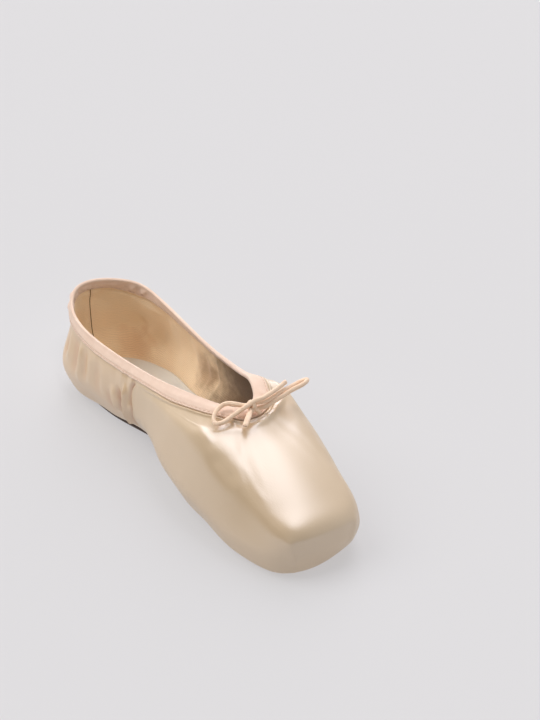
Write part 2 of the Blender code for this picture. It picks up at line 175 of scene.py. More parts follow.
def closed_spline(stations, rows, places):
    """Values at some places on the closed cubic curve through the rows; the last row is the first."""
    steps = np.diff(stations)[:, None]
    slopes = np.diff(rows, axis=0) / steps
    same = np.eye(len(steps))
    before = np.roll(steps, 1)
    matrix = 2.0 * (before + steps) * same
    matrix += before * np.roll(same, -1, axis=1) + steps * np.roll(same, 1, axis=1)
    bends = np.linalg.solve(matrix, 6.0 * (slopes - np.roll(slopes, 1, axis=0)))
    bends = np.vstack([bends, bends[:1]])
    index = np.clip(np.searchsorted(stations, places, side="right") - 1, 0, len(steps) - 1)
    after = (places - stations[index])[:, None] / steps[index]
    before = 1.0 - after
    cubic = (before**3 - before) * bends[index] + (after**3 - after) * bends[index + 1]
    return before * rows[index] + after * rows[index + 1] + cubic * steps[index] ** 2 / 6.0


def route_length(points):
    """Distance travelled at each point of a line."""
    return np.concatenate([[0.0], np.cumsum(np.linalg.norm(np.diff(points, axis=0), axis=1))])


def values_at(wanted, stations, rows):
    """The rows of a line read at some stations along it."""
    return np.column_stack([np.interp(wanted, stations, column) for column in rows.T])


def open_spline(points, count):
    """Evenly spaced points on a smooth curve through given points."""
    points = np.array(points)
    ends = np.vstack([2 * points[0] - points[1], points, 2 * points[-1] - points[-2]])
    dense = []
    for a, b, c, d in zip(ends, ends[1:], ends[2:], ends[3:]):
        square = 2 * a - 5 * b + 4 * c - d
        cube = 3 * b - a - 3 * c + d
        for t in np.linspace(0.0, 1.0, ROUTE_POINTS, endpoint=False):
            dense.append(b + ((c - a) * t + square * t**2 + cube * t**3) / 2.0)
    dense.append(points[-1])
    dense = np.array(dense)
    lengths = route_length(dense)
    return values_at(np.linspace(0.0, lengths[-1], count), lengths, dense)


def section_values(columns):
    """The section table in metres, mirrored and read at evenly spread columns round the shoe."""
    half = np.array(SECTIONS)
    half[:, LENGTH_SHARES] = along_to_y(half[:, LENGTH_SHARES])
    half[:, HALF_WIDTH_SHARES] *= BALL_WIDTH / 2.0
    half[:, INSTEP_SHARES] *= INSTEP_HEIGHT
    half[:, HEEL_SHARE] *= HEEL_HEIGHT
    mirrored = half[-2:0:-1].copy()
    mirrored[:, HALF_WIDTH_SHARES] *= -1.0
    rows = np.vstack([half, mirrored, half[:1]])
    chords = np.linalg.norm(np.diff(rows[:, :2], axis=0), axis=1)
    stations = np.concatenate([[0.0], np.cumsum(chords**COLUMN_CROWDING)])
    return closed_spline(stations, rows, np.linspace(0.0, stations[-1], columns, endpoint=False))


def rounded_corner(before, at, after, setback):
    """Points of a soft corner: a quintic curve whose bend starts and ends at nothing."""
    to_before = before - at
    to_after = after - at
    reach_before = np.linalg.norm(to_before, axis=1, keepdims=True)
    reach_after = np.linalg.norm(to_after, axis=1, keepdims=True)
    start = at + to_before * np.minimum(setback, MOST_SETBACK * reach_before) / reach_before
    end = at + to_after * np.minimum(setback, MOST_SETBACK * reach_after) / reach_after
    near, far = CORNER_HANDLES
    handles = (start, start + near * (at - start), start + far * (at - start))
    handles += (end + far * (at - end), end + near * (at - end), end)
    share = np.linspace(0.0, 1.0, CORNER_POINTS)[None, :, None]
    degree = len(handles) - 1
    corner = 0.0
    for i, handle in enumerate(handles):
        corner = corner + comb(degree, i) * share**i * (1.0 - share) ** (degree - i) * handle[:, None]
    return corner


def last_grid(columns, rings_below, rings_under):
    """Points on the last, column by column from the margin's inner edge up to the collar, and
    how far each lies below the binding's lower edge, measured over the surface."""
    values = section_values(columns)
    y, x, widest_up, feather_in, shoulder_in, shoulder_up = values[:, :6].T
    shoulder_round, collar_y, collar_x, collar_up, rim_rise = values[:, 6:].T

    inwards = np.column_stack([0.0 * x, middle_at(y)]) - np.column_stack([x, y])
    inwards /= np.linalg.norm(inwards, axis=1, keepdims=True)

    def inset(distance, height):
        plan = np.column_stack([x, y]) + inwards * distance[:, None]
        return np.column_stack([plan, height + 0.0 * x])

    widest = np.column_stack([x, y, widest_up])
    feather = inset(feather_in, 0.0)
    feather[:, 2] = sole_line(feather[:, 1]) + FEATHER_UP
    margin = inset(feather_in + margin_at(y), 0.0)
    margin[:, 2] = sole_line(margin[:, 1]) + OUTSOLE_THICKNESS + GAP
    shoulder = inset(shoulder_in, shoulder_up)
    collar = np.column_stack([collar_x, collar_y, collar_up])
    to_shoulder = shoulder - collar
    roof = np.linalg.norm(to_shoulder, axis=1, keepdims=True)
    rim = collar + to_shoulder * np.minimum(RIM_SETBACK / roof, RIM_MOST_SHARE)
    rim[:, 2] += rim_rise

    corners = (
        rounded_corner(margin, feather, widest, FEATHER_ROUND),
        rounded_corner(feather, widest, shoulder, WIDEST_ROUND),
        rounded_corner(widest, shoulder, rim, shoulder_round[:, None]),
        rounded_corner(shoulder, rim, collar, RIM_ROUND),
    )
    share = np.linspace(0.0, 1.0, STRAIGHT_POINTS)[None, 1:-1, None]
    pieces = [margin[:, None]]
    for corner in corners:
        start = pieces[-1][:, -1:]
        straight = start + (corner[:, :1] - start) * share
        if corner is corners[3]:
            # The roof of the vamp is slightly arched between the shoulder and the rim
            camber = ROOF_CAMBER * np.minimum(roof / ROOF_FULL_LENGTH, 1.0) ** 2
            straight[:, :, 2] += camber * 4.0 * (share * (1.0 - share))[:, :, 0]
        pieces += [straight, corner]
    start = pieces[-1][:, -1:]
    pieces += [start + (collar[:, None] - start) * share, collar[:, None]]
    dense = np.concatenate(pieces, axis=1)

    points = np.empty((columns, rings_below + rings_under, 3))
    below = np.empty((columns, rings_below + rings_under))
    for column, line in enumerate(dense):
        apart = np.linalg.norm(np.diff(line, axis=0), axis=1) > SAME_POINT
        line = line[np.concatenate([[True], apart])]
        travelled = route_length(line)
        edge = travelled[-1] - BINDING_HEIGHT
        effort = travelled + CROWDED_BY * np.exp(np.minimum(travelled - edge, 0.0) / CROWDED_OVER)
        effort_at_edge = np.interp(edge, travelled, effort)
        even = np.linspace(effort[0], effort_at_edge, rings_below, endpoint=False)
        wanted = np.concatenate(
            [np.interp(even, effort, travelled), np.linspace(edge, travelled[-1], rings_under)]
        )
        below[column] = edge - wanted
        points[column] = values_at(wanted, travelled, line)
    return points, below


def outward_normals(grid):
    """Unit normals of a grid that is closed round the shoe and open from margin to collar."""
    round_shoe = np.roll(grid, -1, axis=0) - np.roll(grid, 1, axis=0)
    up_wall = np.gradient(grid, axis=1)
    normals = np.cross(up_wall, round_shoe)
    return normals / np.linalg.norm(normals, axis=2, keepdims=True)


# Where this shoe's soft cloth has settled off the last: a middle, how far round it the cloth
# moves, and the move, all in millimetres
MM = 0.001
LEANS = (
    ((22.0, -32.5, 49.0), 13.0, (1.2, 1.0, 5.0)),  # right wing stands up
    ((11.0, -45.5, 51.5), 8.0, (0.8, -1.4, 0.0)),  # binding juts at the throat's corner
    ((-12.0, 103.0, 54.0), 13.0, (-2.0, 3.0, 1.6)),  # left heel corner stands up
    ((19.0, 96.0, 51.0), 12.0, (0.2, 0.2, 1.2)),  # right heel corner stands up
    ((-22.5, 98.5, 36.0), 8.0, (1.1, -0.6, 0.0)),  # quarter is drawn in under the binding
    ((-27.5, 93.0, 15.0), 13.0, (-1.2, 0.0, -0.2)),  # quarter swells low down
    ((-25.5, 65.0, 4.5), 14.0, (1.0, 0.0, 0.8)),  # waist is drawn in low
    ((-30.5, -18.0, 18.0), 17.0, (-1.2, 0.0, -0.2)),  # cloth is full at the joint
    ((-34.0, -57.0, 6.0), 12.0, (1.0, 0.3, 0.6)),  # left wall is drawn in low
    ((-26.5, -85.0, 3.0), 15.0, (-1.4, -0.2, -1.0)),  # toe's left edge is full
    ((-22.0, -103.0, 2.5), 13.0, (-1.4, -0.8, -1.0)),  # toe's left corner is full
    ((-11.0, -114.0, 3.0), 12.0, (0.0, -0.2, -0.6)),  # toe's lower edge is square
    ((13.0, -112.5, 3.0), 12.0, (-0.2, 1.2, 1.3)),  # toe's right corner is tucked in
    ((-16.5, -112.0, 23.5), 9.0, (-1.0, -1.2, 0.4)),  # platform's left corner is crisp
)

# The roof of the vamp is smoothed this often: from this share of the length on, where the last
# faces up and off the binding
SOFTENING_PASSES = 24
ROOF_STARTS = (0.66, 0.74)
ROOF_FACES_UP = (0.10, 0.50)
ROOF_BELOW_BINDING = (0.004, 0.010)


def leaned(grid):
    """The grid of the last with the cloth moved where it has settled."""
    moved = grid.copy()
    for middle, reach, move in LEANS:
        away = np.linalg.norm(grid - np.array(middle) * MM, axis=2, keepdims=True)
        moved += bell(away, 0.0, reach * MM) * np.array(move) * MM
    return moved


def softened(grid, below):
    """The grid with its small kinks smoothed out over the roof of the vamp, where the satin is
    drawn taut over the box."""
    weight = smooth_step(y_to_along(grid[:, :, 1:2]), *ROOF_STARTS)
    weight = weight * smooth_step(outward_normals(grid)[:, :, 2:], *ROOF_FACES_UP)
    weight = weight * smooth_step(below[:, :, None], *ROOF_BELOW_BINDING)
    for _ in range(SOFTENING_PASSES):
        mean = (np.roll(grid, 1, axis=0) + np.roll(grid, -1, axis=0)) / 4.0 + grid / 2.0
        mean[:, 1:-1] = (mean[:, 2:] + mean[:, :-2]) / 4.0 + mean[:, 1:-1] / 2.0
        grid = grid + weight * (mean - grid)
    return grid


last, below_binding = last_grid(COLUMNS_ROUND, RINGS_BELOW_BINDING, RINGS_UNDER_BINDING)
last = leaned(softened(last, below_binding))
outwards = outward_normals(last)
last_along = y_to_along(last[:, :, 1])

# The collar's length from its middle at the throat, positive towards +X
collar_line = last[:, -1]
collar_steps = np.linalg.norm(np.roll(collar_line, -1, axis=0) - collar_line, axis=1)
from_heel = np.concatenate([[0.0], np.cumsum(collar_steps)[:-1]])
COLLAR_LENGTH = float(collar_steps.sum())
collar_run = COLLAR_LENGTH / 2.0 - from_heel

# The binding is narrower along the quarters, where it is pulled tight
HEM_LIFT = 0.0021
TIGHT_FROM = (0.075, 0.14)
TIGHT_TO = (0.42, 0.56)
hem_lift = HEM_LIFT * window(last_along[:, -1], TIGHT_FROM, TIGHT_TO)
below_hem = below_binding + hem_lift[:, None]

# Folds of the upper
# Satin over its cotton lining is drawn over the last by hand: soft rolls and troughs gather at
# the side seams and the waist, faint ones run down the quarters, and the satin dips between
# the binding and the rim of the vamp at the throat.

# Folds, a row each: width and height in millimetres, where a trough has a negative
# # height; the share of the route over which it fades at either end; and the route itself. A place
# # of the route is a per cent of the length from the heel back, with a height in millimetres.
LEFT_FOLDS = (
    # Left side seam: the seam's groove, the roll of slack satin behind it and its troughs
    (0.9, -1.9, 0.10, ((41.7, 42.5), (40.6, 36.9), (40.4, 31.5), (41.1, 26.2), (40.5, 19.1), (38.6, 11.5))),
    (1.4, 2.7, 0.22, ((37.9, 38.5), (38.5, 33.5), (39.1, 29.0), (39.4, 24.0), (38.8, 18.0), (37.2, 11.0))),
    (2.0, -2.2, 0.28, ((34.9, 34.5), (35.8, 29.0), (36.5, 24.0), (36.6, 18.5), (36.0, 12.5), (35.2, 9.5))),
    (2.6, 1.2, 0.35, ((33.0, 33.0), (33.8, 27.0), (34.3, 21.0), (34.2, 15.0))),
    (3.0, -0.8, 0.40, ((30.8, 31.0), (31.7, 24.5), (32.2, 17.5), (32.1, 12.0))),
    # Left quarter: faint upright folds down to the heel
    (4.2, 0.8, 0.40, ((28.6, 40.0), (29.6, 31.2), (30.0, 20.0))),
    (4.4, -0.6, 0.40, ((25.8, 40.0), (27.0, 31.0), (28.0, 17.0))),
    (3.6, 0.9, 0.35, ((22.8, 41.7), (24.0, 33.3), (24.4, 19.0))),
    (3.4, -0.8, 0.35, ((20.6, 41.0), (21.6, 32.0), (22.0, 20.0))),
    (3.0, 1.5, 0.35, ((18.0, 42.0), (19.4, 32.5), (19.6, 16.0))),
    (3.8, -0.9, 0.35, ((15.2, 42.0), (16.6, 33.0), (17.0, 19.0))),
    (3.2, 1.1, 0.35, ((11.8, 43.0), (13.0, 34.3), (14.2, 23.0))),
    (3.0, -1.1, 0.35, ((8.5, 45.0), (9.8, 35.0), (10.8, 22.0))),
    # Corner of the toe: the satin turns over a crisp edge between the side of the box and its platform
    (2.2, 0.7, 0.25, ((97.6, 24.0), (98.3, 18.5), (98.5, 13.5), (98.4, 7.0))),
)
RIGHT_FOLDS = (
    # Right side: the same seam, its folds a little quieter and not the left side's mirror
    (1.0, -1.3, 0.15, ((41.8, 42.5), (41.0, 36.9), (40.7, 30.0), (40.8, 24.0), (40.2, 18.0), (39.0, 10.5))),
    (1.8, 1.5, 0.30, ((38.9, 39.5), (39.1, 33.0), (39.1, 26.0), (38.6, 19.0), (37.4, 10.5))),
    (2.4, -1.2, 0.35, ((35.8, 38.0), (36.4, 30.0), (36.6, 22.0), (35.8, 12.0))),
    (3.0, 1.0, 0.35, ((33.6, 37.0), (34.2, 28.0), (34.4, 17.0))),
    (3.8, -1.1, 0.35, ((29.8, 39.0), (30.6, 29.0), (31.2, 17.0))),
    (4.0, 1.1, 0.35, ((25.0, 41.0), (26.2, 31.0), (27.0, 18.0))),
    (3.6, -0.8, 0.35, ((20.0, 41.0), (21.4, 32.0), (22.2, 19.0))),
    (3.4, 0.9, 0.35, ((15.0, 42.0), (16.2, 33.0), (17.0, 20.0))),
    (3.4, -0.9, 0.35, ((10.4, 43.0), (11.6, 34.0), (12.4, 22.0))),
    # Corner of the toe: the satin turns over a crisp edge between the side of the box and its platform
    (2.2, 0.7, 0.25, ((97.6, 24.0), (98.3, 18.5), (98.5, 13.5), (98.4, 7.0))),
)

# The vamp's folds are placed from above: a per cent of the length with a place across
VAMP_FOLDS = (
    # Throat: the dip before the binding, the vamp's rim round it and its puff at the left corner
    (2.4, -0.4, 0.30, ((70.6, -12.5), (71.7, -7.0), (72.1, -1.0), (71.5, 5.5), (70.0, 11.5), (67.8, 17.0))),
    (2.0, 0.4, 0.25, ((70.0, -24.0), (71.4, -18.5), (73.2, -10.0), (73.8, -3.7))),
    (1.6, 0.8, 0.25, ((74.0, -6.0), (73.9, -1.0), (73.2, 5.0), (71.7, 12.5), (69.3, 20.5), (67.0, 25.5))),
    (2.7, 0.9, 0.40, ((66.4, -25.6), (68.6, -25.2), (70.6, -25.0), (73.8, -24.4))),
    # Shoulders of the vamp: each falls away from a straight edge where the flat of the box ends
    (4.0, -0.9, 0.35, ((73.5, -27.0), (76.0, -26.6), (78.5, -26.1), (81.0, -25.5), (84.0, -24.8))),
    (2.4, 0.4, 0.35, ((78.0, -18.8), (81.0, -19.4), (85.0, -20.0), (88.0, -20.0), (91.5, -18.8))),
    (4.0, -0.7, 0.35, ((70.0, 26.2), (73.5, 26.8), (77.0, 26.4), (80.5, 25.6), (84.0, 24.8))),
    (2.4, 0.4, 0.35, ((78.0, 18.8), (81.0, 19.4), (85.0, 20.0), (88.0, 20.0), (91.5, 18.8))),
)

# Short creases that run down from the binding where its drawstring gathers the satin, in
# millimetres: each one's run round the collar from the throat's middle, positive towards +X, its
# width, its height, and the length over which it fades downwards
PUCKERS = (
    (4.5, 0.9, 0.4, 3.5), (7.8, 1.1, -0.5, 4.5), (11.2, 1.0, 0.4, 4.0), (15.0, 1.3, -0.3, 4.0),
    (21.0, 1.6, 0.3, 5.0), (29.0, 1.8, -0.3, 5.0), (39.0, 2.0, 0.2, 5.5), (52.0, 2.2, -0.2, 5.5),
    (66.0, 2.4, 0.3, 6.0), (79.0, 1.6, -0.4, 6.0), (85.0, 1.4, 0.4, 6.0), (104.0, 2.2, -0.3, 6.0),
    (126.0, 2.4, 0.3, 7.0), (148.0, 2.0, -0.3, 7.0), (164.0, 1.8, 0.3, 6.0), (-3.0, 0.9, -0.4, 4.0),
    (-6.2, 1.0, 0.4, 4.0), (-10.0, 1.2, -0.4, 4.5), (-14.6, 1.2, 0.3, 4.0), (-20.0, 1.5, -0.2, 4.5),
    (-30.0, 1.8, 0.2, 5.0), (-42.0, 2.0, -0.2, 5.0), (-56.0, 2.2, 0.2, 5.0),
    (-71.5, 1.4, -0.4, 6.0), (-75.5, 1.2, 0.5, 5.0), (-80.0, 1.2, -0.5, 6.0),
    (-84.5, 1.2, 0.4, 6.0), (-90.0, 1.6, -0.3, 6.0), (-108.0, 2.0, 0.3, 7.0),
    (-124.0, 2.2, -0.3, 7.0), (-140.0, 2.0, 0.3, 7.0), (-156.0, 1.8, -0.3, 6.0),
    (-170.0, 1.6, 0.3, 6.0),
)

# The satin is pinched into a thin ridge just under the binding's stitches; the puckers rise
# between the last two of these depths below the tape's edge
PINCH_BELOW = 0.0013
PINCH_WIDTH = 0.0007
PINCH_HEIGHT = 0.00075
PINCH_STARTS = 0.38
PINCH_IS_FULL = 0.46
PINCH_AT_HEEL = 0.25
PUCKERS_START = -0.004
PUCKERS_PEAK = 0.0012

# Pleats of the margin turned under the toe, fanned round a point on the middle line
PLEAT_CENTRE_ALONG = 0.860
PLEAT_ANGLE = np.radians(9.5)
PLEAT_HEIGHT = 0.0006
PLEAT_RISES_OVER = 0.72
PLEAT_LEVEL = 0.35
PLEAT_WOBBLES = ((0.22, 3.1), (0.15, 7.3))
PLEATS_FACE_DOWN = (0.80, 0.99)
PLEATS_STOP_AT_HEIGHT = (0.0022, 0.0040)
PLEATS_START_ALONG = (0.83, 0.90)

# Slack of the cloth: soft swellings this far apart and this high, in the quarters and the box
SLACK_SPACING = 0.016
SLACK_IN_QUARTERS = 0.00028
SLACK_IN_BOX = 0.00007
BOX_STARTS = 0.58
BOX_IS_HARD = 0.78

# A fold's route is placed on the surface that faces its view by at least this much and is drawn
# with this many points; the fold reaches this many widths to both sides
FACES_VIEW = 0.35
LINE_POINTS = 26
FOLD_REACH = 3.0


def place_on_last(view, side, along, second):
    """The point of the last at a share along and a height (side) or a place across (top)."""
    if view == "side":
        seen = (last[:, :, 0] * side > 0.0) & (abs(outwards[:, :, 0]) > FACES_VIEW)
        off = np.hypot(last[:, :, 1] - along_to_y(along), last[:, :, 2] - second)
    else:
        seen = outwards[:, :, 2] > FACES_VIEW
        off = np.hypot(last[:, :, 1] - along_to_y(along), last[:, :, 0] - second)
    off = np.where(seen, off, np.inf)
    return last[np.unravel_index(np.argmin(off), off.shape)]


def distance_to_line(points, line):
    """Distance of each point to a line, and the share of the line where it is nearest."""
    nearest = np.full(len(points), np.inf)
    share = np.zeros(len(points))
    lengths = route_length(line)
    for start, end, reached, reaches in zip(line, line[1:], lengths, lengths[1:]):
        step = end - start
        part = np.clip((points - start) @ step / (step @ step), 0.0, 1.0)
        distance = np.linalg.norm(points - start - part[:, None] * step, axis=1)
        closer = distance < nearest
        nearest = np.where(closer, distance, nearest)
        share = np.where(closer, (reached + part * (reaches - reached)) / lengths[-1], share)
    return nearest, share


def fold_relief(view, side, rows):
    """Height over the last of the folds placed in one view."""
    relief = np.zeros(len(last) * len(last[0]))
    points = last.reshape(-1, 3)
    for width, height, fade, route in rows:
        places = [place_on_last(view, side, along / 100.0, second * MM) for along, second in route]
        line = open_spline(places, LINE_POINTS)
        reach = FOLD_REACH * width * MM
        near = (points > line.min(axis=0) - reach) & (points < line.max(axis=0) + reach)
        near = near.all(axis=1)
        distance, share = distance_to_line(points[near], line)
        faded = window(share, (0.0, fade), (1.0 - fade, 1.0))
        relief[near] += height * MM * faded * bell(distance, 0.0, width * MM)
    return relief.reshape(last.shape[:2])


def gather_relief():
    """Height of the pinched ridge under the binding and of the puckers that cross it."""
    collar_along = last_along[:, -1:]
    weight = PINCH_AT_HEEL + (1.0 - PINCH_AT_HEEL) * smooth_step(collar_along, PINCH_STARTS, PINCH_IS_FULL)
    relief = PINCH_HEIGHT * weight * bell(below_hem, PINCH_BELOW, PINCH_WIDTH)
    for run, width, height, length in np.array(PUCKERS) * MM:
        across = bell(collar_run[:, None], run, width)
        down = bell(below_hem, PUCKERS_PEAK, length) * smooth_step(below_hem, PUCKERS_START, PUCKERS_PEAK)
        relief = relief + height * across * down
    return relief


def pleat_relief():
    """Height of the pleats under the toe, which stop where the outsole covers them."""
    x = last[:, :, 0]
    y = last[:, :, 1]
    angle = np.arctan2(x, along_to_y(PLEAT_CENTRE_ALONG) - y)
    turn = angle / PLEAT_ANGLE
    for height, pace in PLEAT_WOBBLES:
        turn = turn + height * np.sin(pace * angle)
    share = turn - np.floor(turn)
    saw = np.minimum(share / PLEAT_RISES_OVER, (1.0 - share) / (1.0 - PLEAT_RISES_OVER))
    low = 1.0 - smooth_step(last[:, :, 2], *PLEATS_STOP_AT_HEIGHT)
    at_toe = smooth_step(last_along, *PLEATS_START_ALONG)
    facing_down = smooth_step(-outwards[:, :, 2], *PLEATS_FACE_DOWN)
    return PLEAT_HEIGHT * (saw - PLEAT_LEVEL) * low * at_toe * facing_down


def slack_relief():
    """Soft unevenness of the cloth, larger in the quarters than over the hard box."""
    soft = 1.0 - smooth_step(last_along, BOX_STARTS, BOX_IS_HARD)
    height = SLACK_IN_BOX + (SLACK_IN_QUARTERS - SLACK_IN_BOX) * soft
    swell = [noise.noise(Vector(point) / SLACK_SPACING) for point in last.reshape(-1, 3)]
    return height * np.array(swell).reshape(last.shape[:2])


folds = fold_relief("side", -1, LEFT_FOLDS)
folds += fold_relief("side", 1, RIGHT_FOLDS)
folds += fold_relief("top", 0, VAMP_FOLDS)
relief = folds + gather_relief() + pleat_relief() + slack_relief()

# Under the binding the cloth is held flat, and its cut edge thins towards the collar
HELD_FLAT = 0.75
HELD_FLAT_OVER = (0.0005, 0.0040)
EDGE_THINS_BY = 0.0005
EDGE_THINS_FROM = 0.0030
relief *= 1.0 - HELD_FLAT * smooth_step(-below_hem, *HELD_FLAT_OVER)
to_collar = smooth_step(-below_binding, EDGE_THINS_FROM, BINDING_HEIGHT)
relief -= EDGE_THINS_BY * to_collar
satin_face = last + outwards * relief[:, :, None]
satin_normals = outward_normals(satin_face)


# Satin cover
# The outside of the upper is one skin of polyester duchesse satin in vamp and quarters,
# stretched over the box and turned under at the margin, where the outsole hides its edge.
SATIN_HEM = 0.0005
SATIN_RING_STEP = 3


def linear(code):
    """An sRGB hex colour as linear light, with alpha."""
    shares = [int(code[i : i + 2], 16) / 255.0 for i in (1, 3, 5)]
    light = [s / 12.92 if s <= 0.04045 else ((s + 0.055) / 1.055) ** 2.4 for s in shares]
    return (*light, 1.0)


def add_node(tree, kind, inputs=None, **settings):
    """A node with its settings; each input is a value, or a socket that is linked to it."""
    node = tree.nodes.new("ShaderNode" + kind)
    for name, value in settings.items():
        setattr(node, name, value)
    for name, value in (inputs or {}).items():
        if isinstance(value, bpy.types.NodeSocket):
            tree.links.new(value, node.inputs[name])
        else:
            node.inputs[name].default_value = value
    return node


def new_material(name, **values):
    """A material whose shader's sockets take these values, its nodes, and the socket that gives
    the place on the object."""
    material = bpy.data.materials.new(name)
    material.use_nodes = True
    tree = material.node_tree
    for socket, value in values.items():
        tree.nodes["Principled BSDF"].inputs[socket.replace("_", " ")].default_value = value
    return material, tree, add_node(tree, "TexCoord").outputs["Object"]


def wandering(tree, place, scale, detail, dyes, roughness=0.5):
    """A colour that wanders in soft clouds between two dyes; scale is clouds per metre."""
    clouds = add_node(
        tree, "TexNoise", {"Vector": place, "Scale": scale, "Detail": detail, "Roughness": roughness}
    )
    shares = {0: clouds.outputs["Fac"], 6: linear(dyes[0]), 7: linear(dyes[1])}
    return add_node(tree, "Mix", shares, data_type="RGBA").outputs[2]


def coat(tree, colour, height=None, strength=0.0, depth=0.0):
    """Links a material's colour and, where it has one, the fine relief of its surface."""
    shader = tree.nodes["Principled BSDF"]
    tree.links.new(colour, shader.inputs["Base Color"])
    if height is not None:
        relief = add_node(tree, "Bump", {"Height": height, "Strength": strength, "Distance": depth})
        tree.links.new(relief.outputs["Normal"], shader.inputs["Normal"])


def grid_faces(columns, rings, looped=False):
    """Squares of a grid that is closed round the shoe, and across too where it is looped."""
    faces = []
    for i in range(columns):
        after = (i + 1) % columns
        for j in range(rings if looped else rings - 1):
            k = (j + 1) % rings
            faces.append((i * rings + j, i * rings + k, after * rings + k, after * rings + j))
    return faces


def add_mesh(name, points, faces, material):
    """One named smooth object from points and faces."""
    mesh = bpy.data.meshes.new(name)
    mesh.from_pydata(np.asarray(points).reshape(-1, 3).tolist(), [], faces)
    mesh.shade_smooth()
    mesh.materials.append(material)
    piece = bpy.data.objects.new(name, mesh)
    bpy.context.scene.collection.objects.link(piece)
    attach(piece, "root")
    return piece


# The quarters are cut across the vamp's grain and begin between these two places. Painted shade
# darkens the satin's colour in the troughs of its folds, fully at this depth, and ends towards the vamp
QUARTERS_START = (0.0195, 0.0225)
CREASE_SHADE_DEPTH = 0.0017
CREASE_SHADE_ENDS = (0.48, 0.56)

# Satin weave: long floats catch the light as one broad soft sheen, whiter than the dyed thread;
# the threads are 0.12 mm apart, drawn four times as coarse so that they show at all; cut across
# the grain, in the quarters, they look a little warmer
satin, weave, place = new_material("duchesse satin", Roughness=0.31, IOR=1.9, Specular_IOR_Level=1.0)
vamp_tone = wandering(weave, place, scale=42.0, detail=3.0, dyes=("#cdb28f", "#d7bc9a"))
split_place = add_node(weave, "SeparateXYZ", {"Vector": place})
in_quarter = add_node(
    weave,
    "MapRange",
    {"Value": split_place.outputs["Y"], "From Min": QUARTERS_START[0], "From Max": QUARTERS_START[1]},
)
dyed = add_node(
    weave,
    "Mix",
    {0: in_quarter.outputs["Result"], 6: vamp_tone, 7: linear("#dabb96")},
    data_type="RGBA",
)
# Painted shade: the satin's colour turns a darker orange-brown in the troughs of its folds
painted_crease_shade = add_node(weave, "Attribute", attribute_name="painted_crease_shade")
crease_shaded = add_node(
    weave,
    "Mix",
    {0: painted_crease_shade.outputs["Fac"], 6: dyed.outputs[2], 7: linear("#c9966c")},
    data_type="RGBA",
)
stretched = add_node(weave, "Mapping", {"Vector": place, "Scale": (2000.0, 160.0, 2000.0)})
floats = add_node(weave, "TexNoise", {"Vector": stretched.outputs["Vector"], "Scale": 1.0, "Detail": 2.0})
coat(weave, crease_shaded.outputs[2], floats.outputs["Fac"], strength=0.45, depth=0.0001)

# Under the binding, where no satin is seen, every third ring is enough
satin_rings = [*range(RINGS_BELOW_BINDING), *range(RINGS_BELOW_BINDING, last.shape[1], SATIN_RING_STEP)]
satin_turned = satin_face[:, :1] - satin_normals[:, :1] * SATIN_HEM
satin_points = np.concatenate([satin_turned, satin_face[:, satin_rings]], axis=1)
satin_cover = add_mesh(
    "satin_cover", satin_points, grid_faces(COLUMNS_ROUND, satin_points.shape[1]), satin
)
# How deep each point lies in a fold's trough, which sets the painted shade of the satin
crease_shade_shares = np.clip(-folds / CREASE_SHADE_DEPTH, 0.0, 1.0) * (1.0 - smooth_step(last_along, *CREASE_SHADE_ENDS))
crease_shade_shares = np.concatenate([crease_shade_shares[:, :1], crease_shade_shares[:, satin_rings]], axis=1)
satin_cover.data.attributes.new("painted_crease_shade", "FLOAT", "POINT").data.foreach_set("value", crease_shade_shares.ravel())
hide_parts("upper")

# Cotton lining
# The inside of the upper is glued to the satin: unbleached cotton drill whose fine ribs run
# level round the shoe, with a felled seam down the middle of the heel.
QUARTER_WALL = 0.0014
BOX_WALL = 0.0026
EDGE_WALL = 0.0009
EDGE_WALL_AT_COLLAR = 0.0005
LINING_EVERY = 2
FELL_WIDTH = 0.0072
FELL_HEIGHT = 0.0004
FELL_EDGE = 0.0006
FELL_GROOVE = 0.0006
FELL_GROOVE_PLACE = 0.0004
FELL_FADES = (0.06, 0.12)
RELIEF_STARTS = (-0.002, 0.004)
WALL_IS_FULL = 0.004

# The lining's own soft folds, where the light shows them on the inside
RIGHT_LINING_FOLDS = (
    (5.0, 1.6, 0.35, ((6.0, 10.0), (7.5, 17.0), (10.0, 23.0), (13.0, 25.0))),
    (4.0, -1.2, 0.35, ((4.5, 18.0), (6.2, 25.0), (8.5, 30.0))),
    (4.0, -1.0, 0.35, ((9.5, 9.0), (13.0, 15.0), (16.5, 17.0))),
    (6.0, 1.0, 0.35, ((20.0, 12.0), (24.5, 20.0), (29.0, 24.0))),
    (5.0, -0.8, 0.35, ((33.0, 15.0), (37.0, 22.0), (41.0, 30.0))),
)
LEFT_LINING_FOLDS = (
    (5.0, 1.0, 0.35, ((10.0, 12.0), (15.0, 20.0), (20.0, 24.0))),
    (5.0, -0.8, 0.35, ((24.0, 14.0), (29.0, 22.0), (33.0, 26.0))),
)


def wall_at(y):
    """The upper's wall: thin cloth at the quarters, a stiff box at the toe."""
    hardness = smooth_step(y_to_along(y), BOX_STARTS, BOX_IS_HARD)
    return QUARTER_WALL + (BOX_WALL - QUARTER_WALL) * hardness


def lining_relief():
    """How far the lining stands into the shoe beyond the wall: its folds and the heel's fell."""
    rise = fold_relief("side", 1, RIGHT_LINING_FOLDS) + fold_relief("side", -1, LEFT_LINING_FOLDS)
    x = last[:, :, 0]
    at_heel = 1.0 - smooth_step(last_along, *FELL_FADES)
    fell = window(x, (-FELL_WIDTH - FELL_EDGE, -FELL_WIDTH), (0.0, FELL_EDGE))
    groove = bell(x, FELL_GROOVE_PLACE, FELL_GROOVE)
    rise += at_heel * FELL_HEIGHT * (fell - groove)
    return rise * smooth_step(below_binding, *RELIEF_STARTS)


# Painted shade deep in the box, together with the paste of the box soaked into the lining, darkens the
# # lining in front of the first place, in blotches this deep
PASTE_AND_SHADE_STARTS = 0.056
PASTE_AND_SHADE_IS_FULL = 0.016
PASTE_AND_SHADE_BLOTCHES = 0.030
